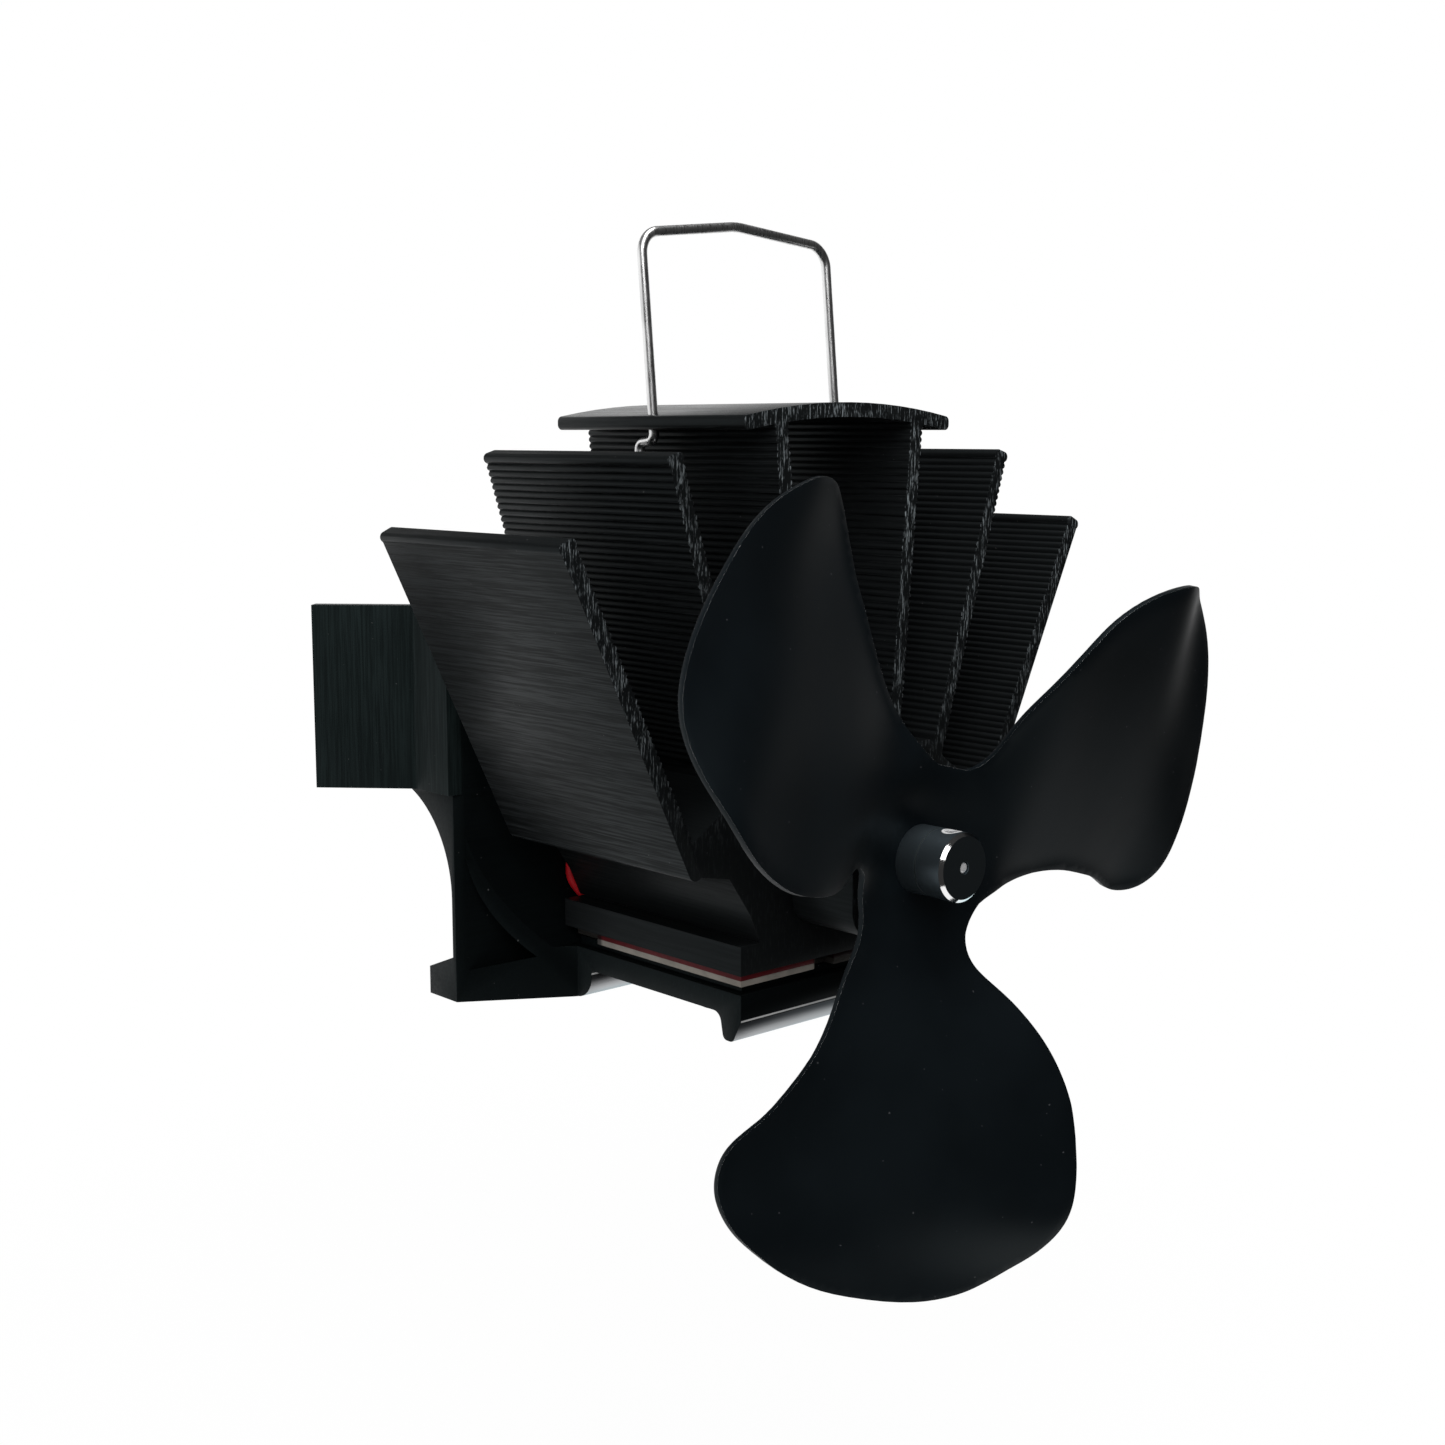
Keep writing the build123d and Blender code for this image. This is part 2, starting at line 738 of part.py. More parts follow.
# Clamp screws from below, with their washers
head_plane = plan_plane.offset(base_floor - clamp_washer_thick - clamp_head_thick)
with BuildPart() as clamp_screws:
    with BuildSketch(head_plane):
        with Locations(*clamp_spots):
            Circle(clamp_head_radius)
    extrude(amount=clamp_head_thick)
    with BuildSketch(head_plane.offset(clamp_head_thick)):
        with Locations(*clamp_spots):
            Circle(clamp_radius)
    extrude(amount=clamp_washer_thick + plate_thick + module_gap + clamp_depth)
    with BuildSketch(head_plane):
        with Locations(*clamp_spots):
            RegularPolygon(clamp_head_radius * socket_share, 6)
    extrude(amount=socket_depth, mode=Mode.SUBTRACT)
clamp_screws.part.label = "clamp_screws"
export_step(clamp_screws.part, "parts/clamp_screws.step")

with BuildPart() as clamp_washers:
    with BuildSketch(plan_plane.offset(base_floor - clamp_washer_thick)):
        with Locations(*clamp_spots):
            Circle(clamp_washer_radius)
            Circle(clamp_radius + fit_gap, mode=Mode.SUBTRACT)
    extrude(amount=clamp_washer_thick)
clamp_washers.part.label = "clamp_washers"
export_step(clamp_washers.part, "parts/clamp_washers.step")

# Motor housing, a rounded-square sleeve with a front wall
can_front = housing_front - housing_wall
screw_spots = [(motor_screw_spacing / 2, 0), (-motor_screw_spacing / 2, 0)]
with BuildPart() as motor_housing:
    with BuildSketch(shaft_plane.offset(housing_front)):
        RectangleRounded(housing_width, housing_height, housing_round)
    extrude(amount=-housing_length)
    with BuildSketch(shaft_plane.offset(can_front)):
        Circle(motor_radius + fit_gap)
    extrude(amount=-housing_length, mode=Mode.SUBTRACT)
    with BuildSketch(shaft_plane.offset(can_front)):
        Circle(boss_radius + fit_gap)
    extrude(amount=housing_wall + overrun, mode=Mode.SUBTRACT)
    with Locations(shaft_plane.offset(housing_front)):
        with Locations(*screw_spots):
            CounterSinkHole(
                radius=motor_screw_radius + fit_gap,
                counter_sink_radius=motor_screw_head + fit_gap,
                depth=housing_wall,
                counter_sink_angle=screw_head_angle,
            )
motor_housing.part.label = "motor_housing"
export_step(motor_housing.part, "parts/motor_housing.step")

# Motor can with its front boss
with BuildPart() as motor_can:
    with BuildSketch(shaft_plane.offset(can_front)):
        Circle(motor_radius)
    extrude(amount=-motor_length)
    with BuildSketch(shaft_plane.offset(can_front)):
        Circle(boss_radius)
    extrude(amount=boss_length)
    with BuildSketch(shaft_plane.offset(can_front - can_wall)):
        Circle(motor_radius - can_wall)
    extrude(amount=-motor_length, mode=Mode.SUBTRACT)
    with BuildSketch(shaft_plane.offset(can_front + boss_length)):
        Circle(bush_radius + fit_gap)
    extrude(amount=-(boss_length + can_wall), mode=Mode.SUBTRACT)
    with BuildSketch(shaft_plane.offset(can_front)):
        with Locations(*screw_spots):
            Circle(motor_screw_radius + fit_gap)
    extrude(amount=-can_wall, mode=Mode.SUBTRACT)
motor_can.part.label = "motor_can"
export_step(motor_can.part, "parts/motor_can.step")

can_back = can_front - motor_length
with BuildPart() as motor_end_cap:
    with BuildSketch(shaft_plane.offset(can_back)):
        Circle(motor_radius - can_wall - fit_gap)
        Circle(bush_radius + fit_gap, mode=Mode.SUBTRACT)
    extrude(amount=end_cap_thick)
motor_end_cap.part.label = "motor_end_cap"
export_step(motor_end_cap.part, "parts/motor_end_cap.step")

# Two arc magnets in the can
with BuildPart() as motor_magnets:
    with BuildSketch(shaft_plane.offset(core_place - magnet_length / 2)):
        Circle(magnet_outer)
        Circle(magnet_inner, mode=Mode.SUBTRACT)
        Rectangle(2 * magnet_outer * cos(radians(magnet_arc / 2)), 4 * magnet_outer, mode=Mode.SUBTRACT)
    extrude(amount=magnet_length)
motor_magnets.part.label = "motor_magnets"
export_step(motor_magnets.part, "parts/motor_magnets.step")

# Sintered bushes of the shaft
for bush_name, bush_start in (
    ("front_bush", can_front + boss_length - bush_length),
    ("rear_bush", can_back),
):
    with BuildPart() as bush:
        with BuildSketch(shaft_plane.offset(bush_start)):
            Circle(bush_radius)
            Circle(shaft_radius + shaft_gap, mode=Mode.SUBTRACT)
        extrude(amount=bush_length)
    bush.part.label = bush_name
    export_step(bush.part, f"parts/{bush_name}.step")

# Brushes on the commutator, held in the end cap
brush_x = commutator_radius + brush_gap + brush_thick / 2
brush_back = can_back + end_cap_thick
with BuildPart() as motor_brushes:
    with BuildSketch(shaft_plane.offset(brush_back)):
        with Locations((brush_x, 0), (-brush_x, 0)):
            Rectangle(brush_thick, brush_width)
    extrude(amount=commutator_place + commutator_length / 2 - brush_back)
motor_brushes.part.label = "motor_brushes"
export_step(motor_brushes.part, "parts/motor_brushes.step")

with BuildPart() as motor_terminals:
    with BuildSketch(shaft_plane.offset(can_back)):
        with Locations((terminal_spacing / 2, 0), (-terminal_spacing / 2, 0)):
            Rectangle(terminal_thick, terminal_width)
    extrude(amount=-terminal_length)
motor_terminals.part.label = "motor_terminals"
export_step(motor_terminals.part, "parts/motor_terminals.step")

# Countersunk screws that hold the motor in the housing
with BuildPart() as motor_screws:
    with BuildSketch(shaft_plane.offset(housing_front)):
        with Locations(*screw_spots):
            Circle(motor_screw_radius)
    extrude(amount=-(housing_wall + motor_screw_bite))
    for spot in screw_spots:
        with BuildSketch(shaft_plane.offset(housing_front)):
            with Locations(spot):
                Circle(motor_screw_head)
        with BuildSketch(shaft_plane.offset(housing_front + motor_screw_radius - motor_screw_head)):
            with Locations(spot):
                Circle(motor_screw_radius)
        loft(ruled=True)
motor_screws.part.label = "motor_screws"
export_step(motor_screws.part, "parts/motor_screws.step")

# Rotor: shaft, armature and commutator
ring_back = housing_front + ring_gap
dish_back = ring_back + ring_length
blade_back = dish_back + dish_depth
barrel_back = dish_back + blade_thick
nose_back = barrel_back + barrel_length
nose_front = nose_back + nose_length
with BuildPart() as motor_shaft:
    with BuildSketch(shaft_plane.offset(can_back + shaft_end_play)):
        Circle(shaft_radius)
    extrude(amount=nose_front - shaft_tip_recess - can_back - shaft_end_play)
motor_shaft.part.label = "motor_shaft"
export_step(motor_shaft.part, "parts/motor_shaft.step")

core_back = core_place - core_length / 2
shoe_radius = core_radius - pole_shoe
with BuildPart() as armature_core:
    with BuildSketch(shaft_plane.offset(core_back)):
        Circle(core_radius)
        Circle(shoe_radius, mode=Mode.SUBTRACT)
        with PolarLocations(core_radius, poles, start_angle=180 / poles):
            Rectangle(2 * pole_shoe + core_neck, pole_gap, mode=Mode.SUBTRACT)
        with PolarLocations(shoe_radius / 2, poles):
            Rectangle(shoe_radius + pole_shoe / 2, pole_width)
        Circle(core_neck)
        Circle(shaft_radius + fit_gap, mode=Mode.SUBTRACT)
    extrude(amount=core_length)
armature_core.part.label = "armature_core"
export_step(armature_core.part, "parts/armature_core.step")

coil_inner = core_neck + fit_gap
coil_half = (pole_width + coil_width) / 2
coil_outer = (shoe_radius ** 2 - coil_half ** 2) ** 0.5 - fit_gap
with BuildPart() as armature_windings:
    with BuildSketch(shaft_plane.offset(core_back - coil_overhang)):
        with PolarLocations((coil_inner + coil_outer) / 2, poles):
            Rectangle(coil_outer - coil_inner, 2 * coil_half)
    extrude(amount=core_length + 2 * coil_overhang)
    with BuildSketch(shaft_plane.offset(core_back - fit_gap)):
        with PolarLocations((coil_inner + coil_outer) / 2, poles):
            Rectangle(coil_outer - coil_inner + overrun, pole_width + 2 * fit_gap)
    extrude(amount=core_length + 2 * fit_gap, mode=Mode.SUBTRACT)
armature_windings.part.label = "armature_windings"
export_step(armature_windings.part, "parts/armature_windings.step")

with BuildPart() as commutator:
    with BuildSketch(shaft_plane.offset(commutator_place - commutator_length / 2)):
        Circle(commutator_radius)
        Circle(shaft_radius + fit_gap, mode=Mode.SUBTRACT)
    extrude(amount=commutator_length)
commutator.part.label = "commutator"
export_step(commutator.part, "parts/commutator.step")

# One blade, twisted: a lofted slab cut to the blade's outline
blade_frame = Plane(
    origin=(0, sink_front - blade_back - blade_thick / 2, shaft_z),
    x_dir=(cos(radians(blade_turn)), 0, sin(radians(blade_turn))),
    z_dir=(0, -1, 0),
)
blade_root = blade_station_shares[0] * blade_radius
blade_reach = blade_station_shares[-1] * blade_radius
front_notch = radians(180 / blade_count + notch_turn)
back_notch = radians(-180 / blade_count + notch_turn)
front_notch_point = (notch_radius * cos(front_notch), notch_radius * sin(front_notch))
back_notch_point = (notch_radius * cos(back_notch), notch_radius * sin(back_notch))
with BuildPart() as one_blade:
    for station_share, pitch in zip(blade_station_shares, blade_pitches):
        station = station_share * blade_radius
        reach = station - blade_root
        station_rise = reach * tan(radians(blade_rake)) - blade_cup_share * reach ** 2 / blade_radius
        station_plane = Plane(
            origin=blade_frame.from_local_coords((station, 0, station_rise)),
            x_dir=blade_frame.y_dir,
            z_dir=blade_frame.x_dir,
        )
        with BuildSketch(station_plane):
            Rectangle(2 * blade_radius, blade_thick, rotation=pitch)
    loft()
    with BuildSketch(blade_frame):
        with BuildLine():
            Spline(
                front_notch_point,
                *[(along * blade_radius, across * blade_radius) for along, across in blade_edge_shares],
                back_notch_point,
            )
            Polyline(back_notch_point, (0, 0), front_notch_point)
        make_face()
    extrude(amount=blade_reach, both=True, mode=Mode.INTERSECT)

# The blades' middle is dished back towards the motor
dish_plane = Plane(
    origin=(0, sink_front - dish_back, shaft_z),
    x_dir=(1, 0, 0),
    z_dir=(0, 0, -1),
)
dish_bore = hub_spigot_radius + fit_gap
dish_rim = notch_radius - dish_rim_inset
with BuildPart() as fan_blades:
    add(one_blade.part)
    for turn in range(1, blade_count):
        add(one_blade.part.rotate(Axis(blade_frame.origin, blade_frame.z_dir), turn * 360 / blade_count))
    with BuildSketch(shaft_plane):
        Circle(dish_rise_radius)
    extrude(amount=nose_front, mode=Mode.SUBTRACT)
    with BuildSketch(dish_plane):
        with BuildLine():
            Polyline((dish_floor_radius, 0), (dish_bore, 0), (dish_bore, blade_thick))
            Line((dish_bore, blade_thick), (dish_floor_radius, blade_thick))
            Spline(
                (dish_floor_radius, blade_thick),
                (dish_rise_radius, dish_depth + blade_thick),
                tangents=((1, 0), (1, 0)),
            )
            Polyline(
                (dish_rise_radius, dish_depth + blade_thick),
                (dish_rim, dish_depth + blade_thick),
                (dish_rim, dish_depth),
                (dish_rise_radius, dish_depth),
            )
            Spline(
                (dish_rise_radius, dish_depth),
                (dish_floor_radius, 0),
                tangents=((-1, 0), (-1, 0)),
            )
        make_face()
    revolve(axis=Axis(dish_plane.origin, (0, -1, 0)))
fan_blades.part.label = "fan_blades"
export_step(fan_blades.part, "parts/fan_blades.step")

# Hub: a ring behind the blades, a barrel through them and a nose with a bright chamfer
with BuildPart() as hub_ring:
    with BuildSketch(shaft_plane.offset(ring_back)):
        Circle(hub_radius)
        Circle(shaft_radius + fit_gap, mode=Mode.SUBTRACT)
    extrude(amount=ring_length)
hub_ring.part.label = "hub_ring"
export_step(hub_ring.part, "parts/hub_ring.step")

with BuildPart() as hub_barrel:
    with BuildSketch(shaft_plane.offset(barrel_back)):
        Circle(hub_radius)
    extrude(amount=barrel_length)
    chamfer(hub_barrel.edges().filter_by(GeomType.CIRCLE).group_by(Axis.Y)[0], length=hub_edge_break)
    with BuildSketch(shaft_plane.offset(dish_back)):
        Circle(hub_spigot_radius)
    extrude(amount=blade_thick)
    with BuildSketch(shaft_plane.offset(dish_back)):
        Circle(shaft_radius + fit_gap)
    extrude(amount=nose_front, mode=Mode.SUBTRACT)
hub_barrel.part.label = "hub_barrel"
export_step(hub_barrel.part, "parts/hub_barrel.step")

set_screw_plane = Plane(
    origin=(0, sink_front - nose_back - nose_length / 2, shaft_z),
    x_dir=(1, 0, 0),
    z_dir=(0, 0, 1),
)
with BuildPart() as hub_nose:
    with BuildSketch(shaft_plane.offset(nose_back)):
        Circle(hub_radius)
    extrude(amount=nose_length)
    nose_rims = hub_nose.edges().filter_by(GeomType.CIRCLE).group_by(Axis.Y)
    chamfer(nose_rims[0], length=nose_chamfer)
    chamfer(hub_nose.edges().filter_by(GeomType.CIRCLE).group_by(Axis.Y)[-1], length=hub_edge_break)
    with BuildSketch(shaft_plane.offset(nose_back)):
        Circle(shaft_radius + fit_gap)
    extrude(amount=nose_length + overrun, mode=Mode.SUBTRACT)
    with BuildSketch(set_screw_plane):
        Circle(set_screw_radius + fit_gap)
    extrude(amount=hub_radius + overrun, mode=Mode.SUBTRACT)
hub_nose.part.label = "hub_nose"
export_step(hub_nose.part, "parts/hub_nose.step")

with BuildPart() as hub_set_screw:
    with BuildSketch(set_screw_plane.offset(shaft_radius + fit_gap)):
        Circle(set_screw_radius)
    extrude(amount=hub_radius - set_screw_sink - shaft_radius - fit_gap)
    with BuildSketch(set_screw_plane.offset(hub_radius - set_screw_sink)):
        RegularPolygon(set_screw_radius * socket_share, 6)
    extrude(amount=-socket_depth, mode=Mode.SUBTRACT)
hub_set_screw.part.label = "hub_set_screw"
export_step(hub_set_screw.part, "parts/hub_set_screw.step")


# Largest bend radii that the runs of a lead allow, one for each corner
def lead_radii(points):
    radii = []
    for before, corner, after in zip(points, points[1:], points[2:]):
        run_in = Vector(*corner) - Vector(*before)
        run_out = Vector(*after) - Vector(*corner)
        half_turn = radians(run_in.get_angle(run_out)) / 2
        radii.append(lead_run_share * min(run_in.length, run_out.length) / tan(half_turn))
    return radii


# Leads from the module, up behind the heat sink and into its rear bore to the motor.
# Their points are chosen by hand: across, depth and height from the seat.
lead_points = [
    (-11.0, module_back, -1.6),
    (-11.4, 42.6, -1.5),
    (-13.8, 46.1, 1.4),
    (-17.8, 47.6, 5.0),
    (-17.9, 49.5, 9.8),
    (-14.6, 50.4, 15.4),
    (-8.6, 49.4, 19.4),
    (-6.2, 44.6, 20.6),
    (-5.6, 36.0, 19.4),
    (-terminal_spacing / 2, terminal_length - can_back, shaft_height),
]
for lead_name, side in (("red_lead", 1), ("black_lead", -1)):
    lead_route = [(side * across, depth, height) for across, depth, height in lead_points]
    with BuildPart() as lead:
        with BuildLine(plan_plane) as lead_path:
            FilletPolyline(*lead_route, radius=lead_radii(lead_route))
        route = lead_path.line
        with BuildSketch(Plane(origin=route @ 0, z_dir=route % 0)):
            Circle(lead_diameter / 2)
        sweep(path=route)
    lead.part.label = lead_name
    export_step(lead.part, f"parts/{lead_name}.step")
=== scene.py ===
import json
import math

import bmesh
import bpy
import numpy
from bpy.props import FloatProperty, FloatVectorProperty, PointerProperty
from mathutils import Matrix, Vector
from mathutils.bvhtree import BVHTree
from mathutils.geometry import delaunay_2d_cdt
from mathutils.kdtree import KDTree

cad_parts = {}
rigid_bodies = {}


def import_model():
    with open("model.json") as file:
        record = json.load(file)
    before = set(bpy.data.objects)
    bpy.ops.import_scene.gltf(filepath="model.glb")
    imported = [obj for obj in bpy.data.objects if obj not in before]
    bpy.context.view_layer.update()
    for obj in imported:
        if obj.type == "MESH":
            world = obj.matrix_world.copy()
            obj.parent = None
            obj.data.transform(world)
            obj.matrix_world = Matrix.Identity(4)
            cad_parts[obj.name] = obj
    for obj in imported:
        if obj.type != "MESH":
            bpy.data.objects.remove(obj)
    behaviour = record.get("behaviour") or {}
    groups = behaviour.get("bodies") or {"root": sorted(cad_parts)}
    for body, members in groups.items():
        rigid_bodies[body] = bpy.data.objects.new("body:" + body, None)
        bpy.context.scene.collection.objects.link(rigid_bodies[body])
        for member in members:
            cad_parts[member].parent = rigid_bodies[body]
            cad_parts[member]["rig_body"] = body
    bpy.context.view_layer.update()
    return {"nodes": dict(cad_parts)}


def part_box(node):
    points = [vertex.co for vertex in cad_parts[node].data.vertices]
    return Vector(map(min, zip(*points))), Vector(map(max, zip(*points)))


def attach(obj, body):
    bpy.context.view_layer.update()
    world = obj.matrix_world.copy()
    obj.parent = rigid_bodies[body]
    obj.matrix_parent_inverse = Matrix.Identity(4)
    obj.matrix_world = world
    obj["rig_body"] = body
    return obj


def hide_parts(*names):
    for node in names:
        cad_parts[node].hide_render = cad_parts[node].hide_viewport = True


bl_info = {
    "name": "Stove fan",
    "version": (1, 0, 0),
    "blender": (4, 5, 0),
    "location": "View3D > Sidebar > Stove fan",
    "description": "Dresses a heat-powered flue fan: ribbed cooler, blades, base, saddle and handle",
    "category": "Add Mesh",
}

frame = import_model()
NOSE_LOW, NOSE_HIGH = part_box("hub_nose")
SHAFT = Vector((0, 0, (NOSE_LOW.z + NOSE_HIGH.z) / 2))
NOSE_FRONT = NOSE_LOW.y
NOSE_SEAM = NOSE_HIGH.y
SET_SCREW = (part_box("hub_set_screw")[0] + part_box("hub_set_screw")[1]) / 2

# Heights at which a finish changes, in metres
TOE_CREASE = -0.0489
TOE_HIGHLIGHT_LOW = -0.0525
NECK_TOP = -0.0265
CAP_LOW = 0.045
SAWN_FROM, SAWN_FULLY = -0.022, 0.01

# The seal and the fibre sheet keep their own colour in front of SHEET_BACK and left of SHEET_GAP; behind
# and right of these they are painted nearly black as painted shade
SHEET_BACK = -0.0213
SHEET_GAP = -0.0050

# Mesh work: what counts as one point, as level and as flat, and the sharpest smooth edge
WELD = 1e-6
SAME_PLACE = 1e-5
FLAT = math.radians(0.4)
SMOOTH_BELOW = math.radians(32.0)
TO_THE_FLUE = Vector((0, 1, 0))

# Blades: the attribute that marks the rim's painted highlight, the notches near the shaft and the net of
# small faces
RIM_HIGHLIGHT_ATTRIBUTE = "broken_rim"
NOTCH_RADIUS = 0.018
NOTCH_CORNER_RADIUS = 0.019
NOTCH_SOFTNESS = 0.0042
MIDDLE_EASE = 0.004
NET_ROW = 0.866
RIM_CLEARANCE = 0.6

# Stage: the floor's middle and the photo's camera
FLOOR_X, FLOOR_Y = 0.07, 0.1
CAMERA_PLACE = (-0.2363, -0.2873, 0.0463)
CAMERA_TURN = math.radians(42.2)
CAMERA_DIP = math.atan(0.1468)

COOL = (0.75, 0.95, 1.0, 1.0)
WHITE = (1.0, 1.0, 1.0, 1.0)


# Shader maths, written as Python


class Reading:
    """A number or a vector that a material's nodes give, with the usual signs between readings."""

    def __init__(self, finish, socket):
        self.finish = finish
        self.socket = socket

    def __add__(self, other):
        return self.finish.maths("ADD", self, other)

    def __sub__(self, other):
        return self.finish.maths("SUBTRACT", self, other)

    def __rsub__(self, other):
        return self.finish.maths("SUBTRACT", other, self)

    def __mul__(self, other):
        return self.finish.maths("MULTIPLY", self, other)

    def __abs__(self):
        return self.finish.maths("ABSOLUTE", self, 0.0)

    __radd__ = __add__
    __rmul__ = __mul__


class Wiring:
    """The nodes of one material or of the world, in the making."""

    def __init__(self, owner):
        owner.use_nodes = True
        self.tree = owner.node_tree
        self.tree.nodes.clear()

    def node(self, kind, settings=None, inputs=None):
        made = self.tree.nodes.new(kind)
        for name, value in (settings or {}).items():
            setattr(made, name, value)
        for name, value in (inputs or {}).items():
            self.feed(made.inputs[name], value)
        return made

    def feed(self, target, value):
        """Sets a node's input or links it to a reading."""
        if isinstance(value, Reading):
            value = value.socket
        if isinstance(value, bpy.types.NodeSocket):
            self.tree.links.new(value, target)
        else:
            target.default_value = value

    def maths(self, operation, a, b):
        return Reading(self, self.node("ShaderNodeMath", {"operation": operation}, {0: a, 1: b}).outputs[0])

    def length(self, a, b):
        """Length of the diagonal over two sides."""
        return self.maths("SQRT", a * a + b * b, 0.0)

    def axis(self, vector, letter):
        return Reading(self, self.node("ShaderNodeSeparateXYZ", {}, {0: vector}).outputs[letter])

    def rays(self, *kinds):
        """1 for a ray of any of these kinds, 0 for the rest."""
        path = self.node("ShaderNodeLightPath")
        found = [Reading(self, path.outputs[kind]) for kind in kinds]
        return sum(found[1:], found[0])

    def step(self, value, low, high, bottom=0.0, top=1.0):
        settings = {"interpolation_type": "SMOOTHSTEP"}
        inputs = {"Value": value, "From Min": low, "From Max": high, "To Min": bottom, "To Max": top}
        return Reading(self, self.node("ShaderNodeMapRange", settings, inputs).outputs[0])


class Finish(Wiring):
    """One procedural material in the making, on a shader that takes colour, gloss and bumps."""

    def __init__(self, name):
        self.material = bpy.data.materials.new(name)
        super().__init__(self.material)
        self.shader = self.node("ShaderNodeBsdfPrincipled")
        self.node("ShaderNodeOutputMaterial", {}, {"Surface": self.shader.outputs[0]})
        place = self.node("ShaderNodeTexCoord")
        self.place = Reading(self, place.outputs["Object"])
        self.facing = Reading(self, place.outputs["Normal"])

    def stretched(self, scale):
        settings = {"operation": "MULTIPLY"}
        made = self.node("ShaderNodeVectorMath", settings, {0: self.place, 1: scale})
        return Reading(self, made.outputs[0])

    def grain(self, scale, detail=2.0, rough=0.55):
        """Noise whose cells lie at so many to the metre along X, Y and Z."""
        inputs = {"Vector": self.stretched(scale), "Scale": 1.0, "Detail": detail, "Roughness": rough}
        return Reading(self, self.node("ShaderNodeTexNoise", {}, inputs).outputs["Fac"])

    def mix(self, share, first, second):
        inputs = {0: share, 6: first, 7: second}
        return Reading(self, self.node("ShaderNodeMix", {"data_type": "RGBA"}, inputs).outputs[2])

    def bump(self, height, depth, strength=1.0):
        inputs = {"Height": height, "Distance": depth, "Strength": strength}
        return self.node("ShaderNodeBump", {}, inputs).outputs[0]

    def surface(self, **sockets):
        for name, value in sockets.items():
            self.feed(self.shader.inputs[name.replace("_", " ")], value)
        return self.material


# Finishes of the fan


def colour(values):
    """Opaque colour for a shader's input."""
    return tuple(values)[:3] + (1.0,)


def shade(values, factor):
    """The colour made darker or lighter."""
    return tuple(min(1.0, c * factor) for c in values[:3]) + (1.0,)


def worn_toe_and_painted_highlight(made, tone, height):
    """A foot's front with an uncoated, rubbed metal band below its fold, made lighter towards its bottom as
    a painted highlight, with a painted highlight line along the fold, on the base's extrusion alone.
    """
    worn_highlight_band = made.step(height, TOE_CREASE - 0.0006, TOE_CREASE, 1.0, 0.0)
    front = made.step(made.axis(made.facing, "Y"), -0.5, -0.25, 1.0, 0.0)
    front = front * made.step(abs(made.axis(made.facing, "X")), 0.15, 0.3, 1.0, 0.0)
    worn_highlight_band = worn_highlight_band * front
    highlight_fade = made.step(height, TOE_HIGHLIGHT_LOW, TOE_CREASE - 0.0008, 1.0, 0.0)
    worn_highlit_tone = made.mix(highlight_fade, (0.05, 0.05, 0.053, 1.0), (0.5, 0.5, 0.51, 1.0))
    tone = made.mix(worn_highlight_band, tone, worn_highlit_tone)
    crease_highlight = made.step(abs(height - TOE_CREASE), 0.00012, 0.0002, 1.0, 0.0) * front
    tone = made.mix(crease_highlight * 0.8, tone, (0.75, 0.75, 0.75, 1.0))
    return tone, worn_highlight_band * (1.0 - crease_highlight)


